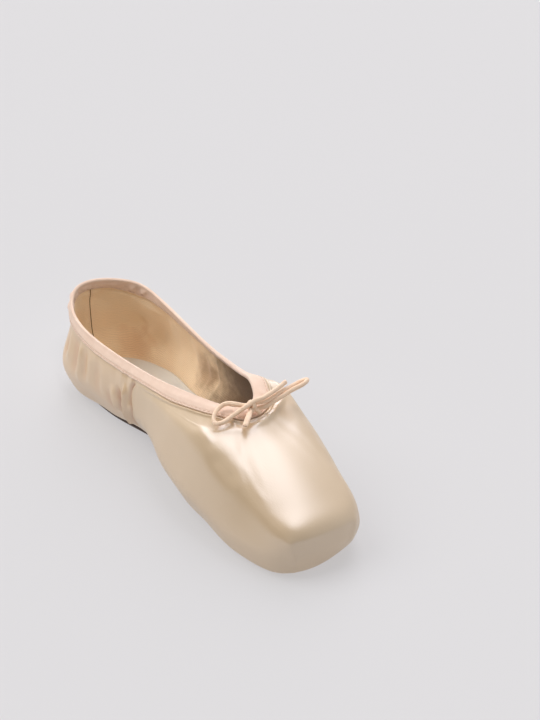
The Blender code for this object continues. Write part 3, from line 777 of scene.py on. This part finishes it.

# Painted shade and warm bounced light inside the shoe, together with browning where the foot rubs: a
# # mark fades between these multiples of its reach, and blotches move its edge by up to this one.
# # Each has its middle, reach, colour and strength.
MARK_FADES = (1.4, 0.6)
MARK_BLOTCHES = 0.8
FOOT_WEAR_AND_SHADE_MARKS = (
    ((0.0215, 0.1030, 0.0110), 0.016, "#d89a64", 0.40),
    ((0.0250, 0.0900, 0.0220), 0.016, "#e2b484", 0.24),
    ((0.0270, 0.0370, 0.0230), 0.015, "#9a6e48", 0.60),
    ((-0.0080, 0.1080, 0.0300), 0.012, "#e0b282", 0.25),
)

# Unbleached cotton drill: matt, a warm beige with uneven ribs 0.9 mm apart, darkened towards the toe
# # by soft stains of paste where the box has been stiffened and by painted shade deep in the box
RIBS_DARKEN_BY = 0.11
drill, twill, place = new_material(
    "cotton drill", Roughness=0.92, Specular_IOR_Level=0.2, Sheen_Weight=0.2, Sheen_Roughness=0.6
)
unbleached = wandering(twill, place, scale=36.0, detail=4.0, dyes=("#fbd6ab", "#ffeac8"), roughness=0.6)
ribs = add_node(
    twill,
    "TexWave",
    {"Vector": place, "Scale": 350.0, "Distortion": 6.0, "Detail": 3.0, "Detail Scale": 1.2},
    bands_direction="Z",
)
blotches = add_node(
    twill, "TexNoise", {"Vector": place, "Scale": 120.0, "Detail": 3.0, "Roughness": 0.6}
)
split_place = add_node(twill, "SeparateXYZ", {"Vector": place})
# Painted shade and paste stains: the lining darkens towards the toe, its edge moved by blotches
paste_and_shade_edge = add_node(
    twill,
    "Math",
    {0: blotches.outputs["Fac"], 1: PASTE_AND_SHADE_BLOTCHES, 2: split_place.outputs["Y"]},
    operation="MULTIPLY_ADD",
)
paste_and_shade_share = add_node(
    twill,
    "MapRange",
    {"Value": paste_and_shade_edge.outputs["Value"], "From Min": PASTE_AND_SHADE_STARTS, "From Max": PASTE_AND_SHADE_IS_FULL},
    interpolation_type="SMOOTHSTEP",
)
stained_and_shaded = add_node(
    twill,
    "Mix",
    {0: paste_and_shade_share.outputs["Result"], 6: unbleached, 7: linear("#82664c")},
    data_type="RGBA",
)
# Painted shade and warm bounced light, partly browning by the foot: darker, oranger patches on the lining
for middle, reach, colour, strength in FOOT_WEAR_AND_SHADE_MARKS:
    away = add_node(twill, "VectorMath", {0: place, 1: middle}, operation="DISTANCE")
    ragged = add_node(
        twill,
        "Math",
        {0: blotches.outputs["Fac"], 1: MARK_BLOTCHES * reach, 2: away.outputs["Value"]},
        operation="MULTIPLY_ADD",
    )
    fading = {
        "Value": ragged.outputs["Value"],
        "From Min": MARK_FADES[0] * reach,
        "From Max": MARK_FADES[1] * reach,
        "To Max": strength,
    }
    share = add_node(twill, "MapRange", fading, interpolation_type="SMOOTHSTEP")
    stained_and_shaded = add_node(
        twill,
        "Mix",
        {0: share.outputs["Result"], 6: stained_and_shaded.outputs[2], 7: linear(colour)},
        data_type="RGBA",
    )
ribbed = add_node(
    twill,
    "Mix",
    {0: RIBS_DARKEN_BY, 6: stained_and_shaded.outputs[2], 7: ribs.outputs["Color"]},
    data_type="RGBA",
    blend_type="MULTIPLY",
)
coat(twill, ribbed.outputs[2], ribs.outputs["Fac"], strength=0.35, depth=0.0003)

wall = EDGE_WALL + (wall_at(last[:, :, 1]) - EDGE_WALL) * smooth_step(below_binding, 0.0, WALL_IS_FULL)
wall -= (EDGE_WALL - EDGE_WALL_AT_COLLAR) * to_collar

# The stiffer lining keeps out of this share of the satin's folds, from this far below the binding
LINING_MISSES = 0.45
MISSES_FULLY_BELOW = 0.0060
lining_misses = LINING_MISSES * folds * smooth_step(below_binding, 0.0, MISSES_FULLY_BELOW)
lining_face = satin_face - outwards * (wall + lining_misses + lining_relief())[:, :, None]
lining_points = lining_face[::LINING_EVERY, satin_rings]
lining_faces = [face[::-1] for face in grid_faces(len(lining_points), lining_points.shape[1])]
lining = add_mesh("cotton_lining", lining_points, lining_faces, drill)
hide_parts("upper")

# Heel seam
# The quarters are joined down the middle of the heel: a row of brown thread lies on the fell of
# the lining, and nothing of it shows in the satin.
HEEL_SEAM_RADIUS = 0.00022
HEEL_SEAM_STANDS = 0.00018
HEEL_SEAM_LEANS = -0.0034
HEEL_SEAM_COLUMNS = 14
HEEL_SEAM_STARTS = 0.0004
HEEL_SEAM_ENDS = 0.0420
HEEL_SEAM_POINTS = 70
HEEL_SEAM_SIDES = 6


def tube_rings(path, across_hint, half_width, half_thickness, sides):
    """Rings of points round a path: a flattened tube whose width lies along the hint."""
    headings = np.gradient(path, axis=0)
    headings /= np.linalg.norm(headings, axis=1, keepdims=True)
    hints = np.broadcast_to(across_hint, path.shape)
    across = hints - (hints * headings).sum(axis=1, keepdims=True) * headings
    across /= np.linalg.norm(across, axis=1, keepdims=True)
    wide = np.broadcast_to(half_width, len(path))[:, None] * across
    thick = np.broadcast_to(half_thickness, len(path))[:, None] * np.cross(headings, across)
    turns = np.linspace(0.0, 2.0 * np.pi, sides, endpoint=False)
    return np.stack([path + np.cos(turn) * wide + np.sin(turn) * thick for turn in turns], axis=1)


def tube_faces(rings, sides, start=0):
    """Squares and end caps of one tube whose first point has this number."""
    faces = []
    for i in range(rings - 1):
        for j in range(sides):
            k = (j + 1) % sides
            a = start + i * sides
            faces.append((a + j, a + k, a + sides + k, a + sides + j))
    faces.append(tuple(start + j for j in reversed(range(sides))))
    faces.append(tuple(start + (rings - 1) * sides + j for j in range(sides)))
    return faces


def add_tube(name, path, across_hint, half_width, half_thickness, sides, material):
    """One named tube along a path."""
    rings = tube_rings(path, across_hint, half_width, half_thickness, sides)
    return add_mesh(name, rings, tube_faces(len(path), sides), material)


# Brown thread: matt and darker than the drill, so that it draws a thin line
seam_thread, seam_twist, place = new_material("brown thread", Roughness=0.85, Specular_IOR_Level=0.2)
coat(seam_twist, wandering(seam_twist, place, scale=1800.0, detail=1.0, dyes=("#7a5638", "#a07a56")))

near_heel = np.arange(-HEEL_SEAM_COLUMNS, HEEL_SEAM_COLUMNS + 1)
seam_path = []
for ring in range(lining_face.shape[1] - 1, 0, -1):
    depth = below_binding[0, ring]
    if HEEL_SEAM_STARTS < depth < HEEL_SEAM_ENDS:
        back = lining_face[near_heel, ring]
        back = back[np.argsort(back[:, 0])]
        x = HEEL_SEAM_LEANS * (1.0 - depth / HEEL_SEAM_ENDS)
        seam_path.append(values_at([x], back[:, 0], back)[0])
seam_path = open_spline(seam_path, HEEL_SEAM_POINTS)
seam_path[:, 1] -= HEEL_SEAM_STANDS
heel_seam = add_tube(
    "heel_seam",
    seam_path,
    (1.0, 0.0, 0.0),
    HEEL_SEAM_RADIUS,
    HEEL_SEAM_RADIUS,
    HEEL_SEAM_SIDES,
    seam_thread,
)
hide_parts("upper")

# Insole
# A thin cotton sock glued inside over the turned margins; at the waist its edges ride up the
# sides of the shoe.
INSOLE_THICKNESS = 0.0012
INSOLE_EASE = 0.0009
INSOLE_RINGS = 16
INSOLE_EDGE_ROUND = 0.0005
INSOLE_EDGE_SHARE = 0.06
INSOLE_EDGE_STANDS = 0.0006
INSOLE_CROWDING = 1.6
INSOLE_COLUMNS = COLUMNS_ROUND // 2

# The ride of its edges: how high, over which shares of the shoe's length it starts and ends, and
# how it flattens out towards the middle line
INSOLE_RIDES_UP = 0.0040
RIDE_STARTS = (0.10, 0.26)
RIDE_ENDS = (0.45, 0.60)
RIDE_FLATTENS_BY = 0.45
RIDE_CURVE = 1.5

# Brushed cotton sock: matt pale grey, its weave too fine to see but for a faint tooth
sock, brushed, place = new_material(
    "brushed cotton", Roughness=0.95, Specular_IOR_Level=0.15, Sheen_Weight=0.25, Sheen_Roughness=0.7
)
worn = wandering(brushed, place, scale=50.0, detail=4.0, dyes=("#cfc8bb", "#e4dfd5"))
tooth = add_node(brushed, "TexNoise", {"Vector": place, "Scale": 1400.0, "Detail": 2.0})
coat(brushed, worn, tooth.outputs["Fac"], strength=0.3, depth=0.0002)


def insole_points():
    """Rings of the sock from its lower edge over the rounded rim to the middle line."""
    columns = []
    for line in lining_face[:: COLUMNS_ROUND // INSOLE_COLUMNS, :RINGS_BELOW_BINDING]:
        lowest = int(np.argmin(line[:, 2]))
        rising = line[lowest:]
        y = line[0, 1]
        bed = sole_line(y) + OUTSOLE_THICKNESS + GAP + wall_at(y) + GAP
        ride = INSOLE_RIDES_UP * window(y_to_along(y), RIDE_STARTS, RIDE_ENDS)
        heights = np.maximum.accumulate(rising[:, 2])
        rim = values_at([bed + INSOLE_EDGE_STANDS + ride], heights, rising[:, :2])[0]
        middle = np.array([0.0, middle_at(rim[1])])
        rim += (middle - rim) / np.linalg.norm(middle - rim) * INSOLE_EASE
        top = bed + INSOLE_THICKNESS
        column = [(*rim, bed + ride)]
        for share in np.linspace(0.0, 1.0, INSOLE_RINGS):
            reach = share**INSOLE_CROWDING
            x, here = rim + (middle - rim) * reach
            height = top + ride * (1.0 - smooth_step(reach, 0.0, RIDE_FLATTENS_BY)) ** RIDE_CURVE
            height -= INSOLE_EDGE_ROUND * (1.0 - smooth_step(reach, 0.0, INSOLE_EDGE_SHARE))
            column.append((x, here, height + sole_line(here) - sole_line(y)))
        columns.append(column)
    return np.array(columns)


insole_grid = insole_points()
insole = add_mesh("insole_sock", insole_grid, grid_faces(INSOLE_COLUMNS, insole_grid.shape[1]), sock)
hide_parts("insole")

# Outsole
# One narrow piece of brown sole leather, cut by hand, its edge stained dark and a shallow groove
# cut along it underneath; it is stuck over the margins and the pleats.
SOLE_STATIONS = 150
SOLE_MIDDLE_STARTS = 0.075
SOLE_MIDDLE_ENDS = 0.905
SOLE_EDGE_ROUND = 0.0006
GROOVE_INSET = 0.0028
GROOVE_WIDTH = 0.0005
GROOVE_DEPTH = 0.0005

# Its outline: a share of the length from the heel back, and half the width there in metres
OUTSOLE_ROWS = (
    (0.050, 0.0080), (0.062, 0.0140), (0.095, 0.0182), (0.150, 0.0200), (0.240, 0.0190),
    (0.350, 0.0168), (0.460, 0.0145), (0.560, 0.0165), (0.660, 0.0232), (0.750, 0.0240),
    (0.830, 0.0208), (0.885, 0.0170), (0.914, 0.0122), (0.924, 0.0066),
)

# The rings of the top as shares of the way in to the middle, then those of the underside in
# metres from the edge and as shares
TOP_SHARES = (1.0, 0.5, 0.0)
SOLE_INSETS = (0.0, 0.0002, 0.0006, 0.0012, 0.0018, 0.0022, 0.0025, 0.0028, 0.0031, 0.0034, 0.0040, 0.0055)
UNDERSIDE_SHARES = (0.6, 1.0)

# Vegetable-tanned sole leather: a brown grain side, a little glossy, nearly black at the edge
# and on top. The grain shows where the upward part of the surface's direction is between these.
GRAIN_SHOWS = (-0.45, -0.95)
leather, hide, place = new_material("sole leather", Roughness=0.55, Specular_IOR_Level=0.4)
tanned = wandering(hide, place, scale=60.0, detail=5.0, dyes=("#5a3d2c", "#8a6247"), roughness=0.6)
facing = add_node(hide, "NewGeometry")
upright = add_node(hide, "SeparateXYZ", {"Vector": facing.outputs["Normal"]})
flat_share = add_node(
    hide,
    "MapRange",
    {"Value": upright.outputs["Z"], "From Min": GRAIN_SHOWS[0], "From Max": GRAIN_SHOWS[1]},
)
edged = add_node(
    hide,
    "Mix",
    {0: flat_share.outputs["Result"], 6: linear("#46342a"), 7: tanned},
    data_type="RGBA",
)
pores = add_node(hide, "TexVoronoi", {"Vector": place, "Scale": 900.0})
coat(hide, edged.outputs[2], pores.outputs["Distance"], strength=0.25, depth=0.0002)


def outsole_grid():
    """Closed outline of the sole, each point with its rings from the middle of the top round the
    edge to the middle of the underside."""
    rows = [(half_width, along_to_y(along), 0.0) for along, half_width in OUTSOLE_ROWS]
    side = open_spline(rows, SOLE_STATIONS)[:, :2]
    columns = []
    for edge in np.vstack([side, side[::-1] * (-1.0, 1.0)]):
        nearest = np.clip(edge[1], along_to_y(SOLE_MIDDLE_ENDS), along_to_y(SOLE_MIDDLE_STARTS))
        to_middle = np.array([0.0, nearest]) - edge
        length = np.linalg.norm(to_middle)
        column = []
        for share in TOP_SHARES:
            x, y = edge + to_middle * share
            column.append((x, y, sole_line(y) + OUTSOLE_THICKNESS))
        for inset in [*SOLE_INSETS, *(share * length for share in UNDERSIDE_SHARES)]:
            inset = min(inset, length)
            x, y = edge + to_middle / length * inset
            share = 1.0 - min(inset / SOLE_EDGE_ROUND, 1.0)
            rise = SOLE_EDGE_ROUND * (1.0 - np.sqrt(1.0 - share**2))
            rise += GROOVE_DEPTH * float(bell(inset, GROOVE_INSET, GROOVE_WIDTH))
            column.append((x, y, sole_line(y) + rise))
        columns.append(column)
    return np.array(columns)


outsole_points = outsole_grid()
outsole_faces = [face[::-1] for face in grid_faces(len(outsole_points), outsole_points.shape[1])]
outsole = add_mesh("leather_outsole", outsole_points, outsole_faces, leather)
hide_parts("outsole")

# Binding
# A bias strip of cotton tape folded over the raw edges of satin and lining, sewn through with
# one row of stitches; the drawstring runs inside the fold and makes it plump and gathered.
BINDING_THICKNESS = 0.0006
HEM_ROUND = 0.0007
HEM_THIN = 0.35
CROWN_RISE = 0.0006
CROWN_LEAF = 0.00035
CROWN_POINTS = 9
CROWN_STARTS_BELOW = 0.0042
PLUMP = 0.00012
PLUMP_OVER = (0.0022, 0.0046)
STITCHES_UP = 0.0012
STITCH_GROOVE = 0.00030
STITCH_GROOVE_WIDTH = 0.00045
BINDING_RINGS = 22
RINGS_READ_BELOW = 12
SEAT_RINGS = (0, 10, 21)

# Gathers of the tape rise over these heights above the hem and lose most of their height over
# these shares of the way up; finer tucks lie between them. A row is a gather's run round the
# collar from the throat's middle, its width and its height, in millimetres.
GATHERED_OVER = (0.0012, 0.0030)
GATHERS_FADE_BY = 0.85
GATHERS_FADE_OVER = (0.60, 0.95)
TUCKS_PER_METRE = 420.0
TUCK_HEIGHT = 0.00016
GATHERS = (
    (5.0, 1.0, 0.25), (8.5, 1.1, -0.25), (12.5, 1.2, 0.22), (17.0, 1.3, -0.2), (24.0, 1.6, 0.15),
    (-6.0, 1.0, 0.25), (-10.0, 1.2, -0.22), (-15.0, 1.3, 0.18), (-23.0, 1.6, -0.15),
    (-76.0, 1.2, 0.28), (-79.5, 1.0, -0.28), (74.0, 1.4, -0.22), (78.0, 1.2, 0.25),
    (143.0, 1.5, -0.74), (146.5, 1.3, 0.86), (150.0, 1.3, -0.86), (153.5, 1.4, 0.74),
    (158.0, 1.5, -0.61), (165.0, 1.6, 0.54), (174.0, 1.8, -0.49), (-150.0, 1.5, 0.51),
    (-154.0, 1.3, -0.54), (-158.0, 1.3, 0.59), (-162.0, 1.4, -0.54), (-166.5, 1.4, 0.51),
    (-172.0, 1.6, -0.42), (-178.0, 1.8, 0.37),
)

# Cotton bias tape: matt, a pinker beige than the satin, its fine threads lying across the edge
tape, bias, place = new_material(
    "cotton bias tape", Roughness=0.80, Specular_IOR_Level=0.3, Sheen_Weight=0.35, Sheen_Roughness=0.5
)
washed = wandering(bias, place, scale=160.0, detail=4.0, dyes=("#dfbfa8", "#eed5c3"), roughness=0.6)
cloth = add_node(bias, "TexNoise", {"Vector": place, "Scale": 1500.0, "Detail": 3.0})
coat(bias, washed, cloth.outputs["Fac"], strength=0.35, depth=0.0002)

# The land is the strip of the upper that the binding covers, read at the binding's own rings
land_share = np.linspace(0.0, 1.0, BINDING_RINGS)[None, :]
above_hem = land_share * (BINDING_HEIGHT - hem_lift)[:, None]


def on_land(grid):
    """A grid's values at the binding's own rings, which run from its hem to the collar."""
    near = slice(RINGS_BELOW_BINDING - RINGS_READ_BELOW, None)
    columns = zip(above_hem, -below_hem[:, near], grid[:, near])
    return np.array([values_at(wanted, heights, values) for wanted, heights, values in columns])


gather = np.zeros(len(last))
for run, width, height in np.array(GATHERS) * MM:
    gather += height * bell(collar_run, run, width)
tucks = [noise.noise(Vector((run * TUCKS_PER_METRE, 0.3, 0.7))) for run in collar_run]
gather += TUCK_HEIGHT * np.array(tucks)

# The leaf is the thickness of the tape on either side: thin at the hem, drawn in along the
# stitches, plump over the drawstring and gathered
leaf = HEM_THIN + (1.0 - HEM_THIN) * np.sqrt(np.clip(above_hem / HEM_ROUND, 0.0, 1.0))
leaf = BINDING_THICKNESS * leaf - STITCH_GROOVE * bell(above_hem, STITCHES_UP, STITCH_GROOVE_WIDTH)
leaf += PLUMP * smooth_step(above_hem, *PLUMP_OVER)
gathered = 1.0 - GATHERS_FADE_BY * smooth_step(land_share, *GATHERS_FADE_OVER)
leaf += gather[:, None] * gathered * smooth_step(above_hem, *GATHERED_OVER)
near_crown = smooth_step(above_hem - above_hem[:, -1:], -CROWN_STARTS_BELOW, 0.0)
leaf += (CROWN_LEAF - leaf) * near_crown
land_out = on_land(satin_face)
land_normals = on_land(outwards)
land_wall = EDGE_WALL - (EDGE_WALL - EDGE_WALL_AT_COLLAR) * near_crown
land_in = land_out - land_normals * land_wall[:, :, None]
face_out = land_out + land_normals * (GAP + leaf)[:, :, None]
face_in = land_in - land_normals * (GAP + leaf)[:, :, None]

# Over the cut edge the two leaves join in a rounded crown, and inside they sit close on the wall
up_edge = last[:, -1] - last[:, -3]
up_edge /= np.linalg.norm(up_edge, axis=1, keepdims=True)
crown_middle = (face_out[:, -1] + face_in[:, -1]) / 2.0
crown_half = (face_out[:, -1] - face_in[:, -1]) / 2.0
crown = [
    crown_middle + np.cos(turn) * crown_half + np.sin(turn) * CROWN_RISE * up_edge
    for turn in np.linspace(0.0, np.pi, CROWN_POINTS + 2)[1:-1]
]
crown = np.stack(crown, axis=1)
seat_in = land_in[:, SEAT_RINGS] - land_normals[:, SEAT_RINGS] * GAP
seat_out = land_out[:, SEAT_RINGS] + land_normals[:, SEAT_RINGS] * GAP
binding_loops = np.concatenate([face_out, crown, face_in[:, ::-1], seat_in, seat_out[:, ::-1]], axis=1)
binding_faces = grid_faces(COLUMNS_ROUND, binding_loops.shape[1], looped=True)
binding = add_mesh("bias_binding", binding_loops, binding_faces, tape)
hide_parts("binding")

# Stitches of the binding
# Cotton thread, a stitch every 2.6 mm along the foot of both leaves; each is a short thread
# that dips into the tape at its ends.
STITCH_PITCH = 0.0026
STITCH_LENGTH = 0.0019
STITCH_RADIUS = 0.00017
STITCH_SIDES = 6
STITCH_POINTS = 7

# In thread radii: how high a stitch's middle stands over the tape, and how far its ends dip
STITCH_STANDS = 0.9
STITCH_DIPS = 2.2

# Spun cotton thread: matt, close to the tape's colour, a little darker for its twist
thread, twist, place = new_material("cotton thread", Roughness=0.85, Specular_IOR_Level=0.25)
coat(twist, wandering(twist, place, scale=2500.0, detail=1.0, dyes=("#d2b19a", "#e6cbb7")))


def stitch_row(face, normals):
    """Points and faces of one row of stitches on a leaf of the binding."""
    rings = np.argmin(abs(above_hem - STITCHES_UP), axis=1)
    every = np.arange(len(face))
    line = np.vstack([face[every, rings], face[:1, rings[0]]])
    out = np.vstack([normals[every, rings], normals[:1, rings[0]]])
    lengths = route_length(line)
    count = int(lengths[-1] / STITCH_PITCH)
    points = []
    faces = []
    for i in range(count):
        start = i * lengths[-1] / count
        wanted = start + np.linspace(0.0, STITCH_LENGTH, STITCH_POINTS)
        away = values_at(wanted, lengths, out)
        share = np.linspace(-1.0, 1.0, STITCH_POINTS)[:, None]
        path = values_at(wanted, lengths, line)
        path += away * STITCH_RADIUS * (STITCH_STANDS - STITCH_DIPS * share**4)
        tube = tube_rings(path, away, STITCH_RADIUS, STITCH_RADIUS, STITCH_SIDES)
        faces += tube_faces(STITCH_POINTS, STITCH_SIDES, len(points))
        points += list(tube.reshape(-1, 3))
    return points, faces


outer_points, outer_faces = stitch_row(face_out, land_normals)
inner_points, inner_faces = stitch_row(face_in, -land_normals)
shifted = [tuple(corner + len(outer_points) for corner in face) for face in inner_faces]
stitches = add_mesh("binding_stitches", outer_points + inner_points, outer_faces + shifted, thread)
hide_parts("binding")

# Drawstring
# One soft flat-woven cotton cord that comes out of the binding at the throat and is tied in a
# small bow, cut square at both ends. The routes of its loops and ends are those of the solids.
CORD_WIDTH = 0.0023
CORD_THICKNESS = 0.0019
CORD_POINT_SPACING = 0.0006
CORD_SIDES = 14
KNOT_PLACE = (0.0004, -0.0497, 0.0544)
LEFT_LOOP = (
    (-0.0018, -0.0480, 0.0550), (-0.0054, -0.0459, 0.0558), (-0.0082, -0.0431, 0.0558),
    (-0.0111, -0.0418, 0.0550), (-0.0144, -0.0427, 0.0540), (-0.0171, -0.0446, 0.0528),
    (-0.0188, -0.0467, 0.0516), (-0.0185, -0.0492, 0.0510), (-0.0152, -0.0500, 0.0514),
    (-0.0104, -0.0493, 0.0524), (-0.0060, -0.0492, 0.0540), (-0.0028, -0.0500, 0.0558),
)
RIGHT_LOOP = (
    (0.0035, -0.0500, 0.0560), (0.0075, -0.0512, 0.0562), (0.0131, -0.0503, 0.0567),
    (0.0189, -0.0492, 0.0572), (0.0247, -0.0482, 0.0577), (0.0299, -0.0476, 0.0582),
    (0.0328, -0.0489, 0.0588), (0.0286, -0.0513, 0.0588), (0.0224, -0.0509, 0.0573),
    (0.0170, -0.0513, 0.0561), (0.0119, -0.0516, 0.0548), (0.0070, -0.0519, 0.0537),
    (0.0034, -0.0506, 0.0533),
)
UPPER_END = (
    (0.0014, -0.0509, 0.0580), (0.0052, -0.0518, 0.0588), (0.0100, -0.0510, 0.0594),
    (0.0156, -0.0493, 0.0599), (0.0213, -0.0472, 0.0604),
)
LOWER_END = (
    (-0.0016, -0.0519, 0.0534), (-0.0046, -0.0548, 0.0530), (-0.0086, -0.0582, 0.0512),
)

# Woven cotton cord: matt peach with a fine plait, its cut ends a little fuzzy
plait, woven, place = new_material(
    "woven cotton cord", Roughness=0.82, Specular_IOR_Level=0.3, Sheen_Weight=0.4, Sheen_Roughness=0.5
)
strands = add_node(
    woven,
    "TexWave",
    {"Vector": place, "Scale": 420.0, "Distortion": 3.0, "Detail": 2.0},
    bands_direction="DIAGONAL",
)
peach = wandering(woven, place, scale=700.0, detail=3.0, dyes=("#f3cdab", "#fde6cf"))
coat(woven, peach, strands.outputs["Fac"], strength=0.3, depth=0.0002)

cord_route = UPPER_END[::-1] + LEFT_LOOP[::-1] + RIGHT_LOOP + LOWER_END
cord_points = 1 + round(float(route_length(np.array(cord_route))[-1]) / CORD_POINT_SPACING)
cord_path = open_spline(cord_route, cord_points)
cord_length = float(route_length(cord_path)[-1])

# The cord's width lies along the first direction in the bow and along the second where the last
# stretch hangs against the vamp's rim. That stretch comes to hang between these lengths before
# its cut end, and is splayed and flattened there by these shares.
WIDTH_IN_BOW = np.array((0.15, 0.45, 1.0))
WIDTH_HANGING = np.array((0.8, -0.6, 0.1))
HANGS_BEFORE_END = (0.013, 0.008)
SPLAYED = 0.22
FLATTENED = 0.25
travelled = np.arange(cord_points) * CORD_POINT_SPACING
hanging = smooth_step(travelled, *(cord_length - np.array(HANGS_BEFORE_END)))
flat_side = WIDTH_IN_BOW * (1.0 - hanging[:, None]) + WIDTH_HANGING * hanging[:, None]
drawstring = add_tube(
    "drawstring",
    cord_path,
    flat_side,
    CORD_WIDTH / 2.0 * (1.0 + SPLAYED * hanging),
    CORD_THICKNESS / 2.0 * (1.0 - FLATTENED * hanging),
    CORD_SIDES,
    plait,
)
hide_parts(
    "drawstring_left_loop",
    "drawstring_right_loop",
    "drawstring_upper_end",
    "drawstring_lower_end",
)

# The turn of cord that holds the bow together, wound once round the strands and pulled tight
WRAP_TURNS = 1.25
WRAP_STARTS = 0.55
WRAP_RADII = (0.0017, 0.0018)
WRAP_RUN = 0.0022
WRAP_STANDS = 0.0010
WRAP_POINTS = 60
PULLED_TIGHT = 1.1
wrap_share = np.linspace(0.0, 1.0, WRAP_POINTS)
wrap_angle = 2.0 * np.pi * (WRAP_TURNS * wrap_share + WRAP_STARTS)
wrap_path = np.column_stack(
    [
        KNOT_PLACE[0] + WRAP_RUN * (wrap_share - 0.5),
        KNOT_PLACE[1] + WRAP_RADII[0] * np.cos(wrap_angle),
        KNOT_PLACE[2] + WRAP_STANDS + WRAP_RADII[1] * np.sin(wrap_angle),
    ]
)
wrap = add_tube(
    "drawstring_wrap",
    wrap_path,
    (1.0, 0.0, 0.0),
    CORD_WIDTH / 2.0,
    CORD_THICKNESS / 2.0 / PULLED_TIGHT,
    CORD_SIDES,
    plait,
)
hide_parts("drawstring_knot")

# Where the cord leaves the binding on both sides of the middle, squeezed a little by the
# stitches, and goes up into the knot
EXITS = (
    (
        (0.0032, -0.0512, 0.0508), (0.0031, -0.0522, 0.0517), (0.0022, -0.0520, 0.0530),
        (0.0010, -0.0508, 0.0540),
    ),
    (
        (-0.0026, -0.0512, 0.0506), (-0.0024, -0.0521, 0.0516), (-0.0014, -0.0516, 0.0528),
        (-0.0004, -0.0506, 0.0538),
    ),
)
EXIT_POINTS = 16
SQUEEZED = 1.15
for number, route in enumerate(EXITS, start=1):
    strand = add_tube(
        "drawstring_exit_%d" % number,
        open_spline(route, EXIT_POINTS),
        (1.0, 0.2, 0.0),
        CORD_WIDTH / 2.0 / SQUEEZED,
        CORD_THICKNESS / 2.0 / SQUEEZED,
        CORD_SIDES,
        plait,
    )

# Floor and light
# A wide pale floor in a dim studio, under a long bright strip of light, a soft fill high on the
# left and a narrow lamp that opens up the inside of the heel.
FLOOR_HALF = 30.0
floor_corners = [(x * FLOOR_HALF, y * FLOOR_HALF, 0.0) for x, y in ((-1, -1), (1, -1), (1, 1), (-1, 1))]
floor_mesh = bpy.data.meshes.new("floor")
floor_mesh.from_pydata(floor_corners, [], [(0, 1, 2, 3)])

# Painted board: matt and pale grey, with a tone so faint that it only breaks up the flatness
board, paint, place = new_material(
    "painted board",
    Roughness=0.9,
    Specular_IOR_Level=0.1,
    Emission_Color=linear("#fdfbfd"),
    Emission_Strength=0.47,
)
coat(paint, wandering(paint, place, scale=3.0, detail=2.0, dyes=("#818080", "#838282")))
floor_mesh.materials.append(board)
floor = bpy.data.objects.new("floor", floor_mesh)
bpy.context.scene.collection.objects.link(floor)

# The strip of light hangs from just over the shoe down to the horizon behind it, away from
# the camera; the studio is dark round the camera and to the left. Each start, edge or reach is
# a pair of cosines with the direction above it, between which the light changes.
STRIP_ALONG = (0.545, 0.839, 0.0)
STRIP_STARTS = (-0.28, 0.06)
STRIP_ACROSS = (-0.839, 0.545, 0.0)
STRIP_RIGHT_EDGE = (-0.52, -0.10)
STRIP_LEFT_EDGE = (0.02, 0.26)
STRIP_LIGHT = (3.28, 3.22, 3.40, 1.0)
CAMERA_SIDE = (-0.308, -0.801, 0.513)
CAMERA_SIDE_REACH = (0.50, 0.95)
CAMERA_SIDE_LIGHT = (0.28, 0.285, 0.28, 1.0)
DARK_DIRECTION = (-0.72, 0.10, 0.69)
DARK_REACH = (0.58, 0.88)
DARK_LIGHT = (0.04, 0.04, 0.04, 1.0)
STUDIO_LIGHT = (0.60, 0.60, 0.59, 1.0)
world = bpy.data.worlds.new("studio")
world.use_nodes = True
sky = world.node_tree
heading = add_node(sky, "TexCoord").outputs["Generated"]


def soft_share(direction, reach):
    """How far a view of the sky lies towards a direction: 0 before its reach and 1 after it."""
    towards = add_node(sky, "VectorMath", {0: heading, 1: direction}, operation="DOT_PRODUCT")
    share = add_node(
        sky,
        "MapRange",
        {"Value": towards.outputs["Value"], "From Min": reach[0], "From Max": reach[1]},
        interpolation_type="SMOOTHSTEP",
    )
    return share.outputs["Result"]


past_edges = [soft_share(STRIP_ACROSS, edge) for edge in (STRIP_RIGHT_EDGE, STRIP_LEFT_EDGE)]
across_strip = add_node(sky, "Math", {0: past_edges[0], 1: past_edges[1]}, operation="SUBTRACT")
in_strip = add_node(
    sky,
    "Math",
    {0: across_strip.outputs["Value"], 1: soft_share(STRIP_ALONG, STRIP_STARTS)},
    operation="MULTIPLY",
)
light = STUDIO_LIGHT
for share, glow in (
    (soft_share(DARK_DIRECTION, DARK_REACH), DARK_LIGHT),
    (soft_share(CAMERA_SIDE, CAMERA_SIDE_REACH), CAMERA_SIDE_LIGHT),
    (in_strip.outputs["Value"], STRIP_LIGHT),
):
    light = add_node(sky, "Mix", {0: share, 6: light, 7: glow}, data_type="RGBA").outputs[2]
sky.links.new(light, sky.nodes["Background"].inputs["Color"])
bpy.context.scene.world = world


def add_lamp(name, kind, strength, turn):
    """A lamp that lights the shoe and has no reflection of its own."""
    lamp = bpy.data.objects.new(name, bpy.data.lights.new(name, kind))
    lamp.data.energy = strength
    lamp.rotation_mode = "QUATERNION"
    lamp.rotation_quaternion = turn
    lamp.visible_glossy = False
    bpy.context.scene.collection.objects.link(lamp)
    return lamp


# A large soft fill high on the left opens up the walls, the binding and the inside of the shoe
# and leaves the satin's gloss to the strip
FILL_FROM = Vector((-0.54, 0.36, 0.76))
FILL_STRENGTH = 1.90
fill = add_lamp("fill", "SUN", FILL_STRENGTH, FILL_FROM.to_track_quat("Z", "Y"))
fill.data.angle = np.radians(50.0)

# A narrow lamp that shines down into the heel, where a reflector would stand
SNOOT_PLACE = Vector((-0.060, -0.260, 0.460))
SNOOT_AIM = Vector((0.004, 0.088, 0.030))
SNOOT_STRENGTH = 4.0
snoot = add_lamp("snoot", "SPOT", SNOOT_STRENGTH, (SNOOT_AIM - SNOOT_PLACE).to_track_quat("-Z", "Y"))
snoot.location = SNOOT_PLACE
snoot.data.shadow_soft_size = 0.05
snoot.data.spot_size = np.radians(11.5)
snoot.data.spot_blend = 1.0
bpy.context.scene.view_settings.view_transform = "Standard"
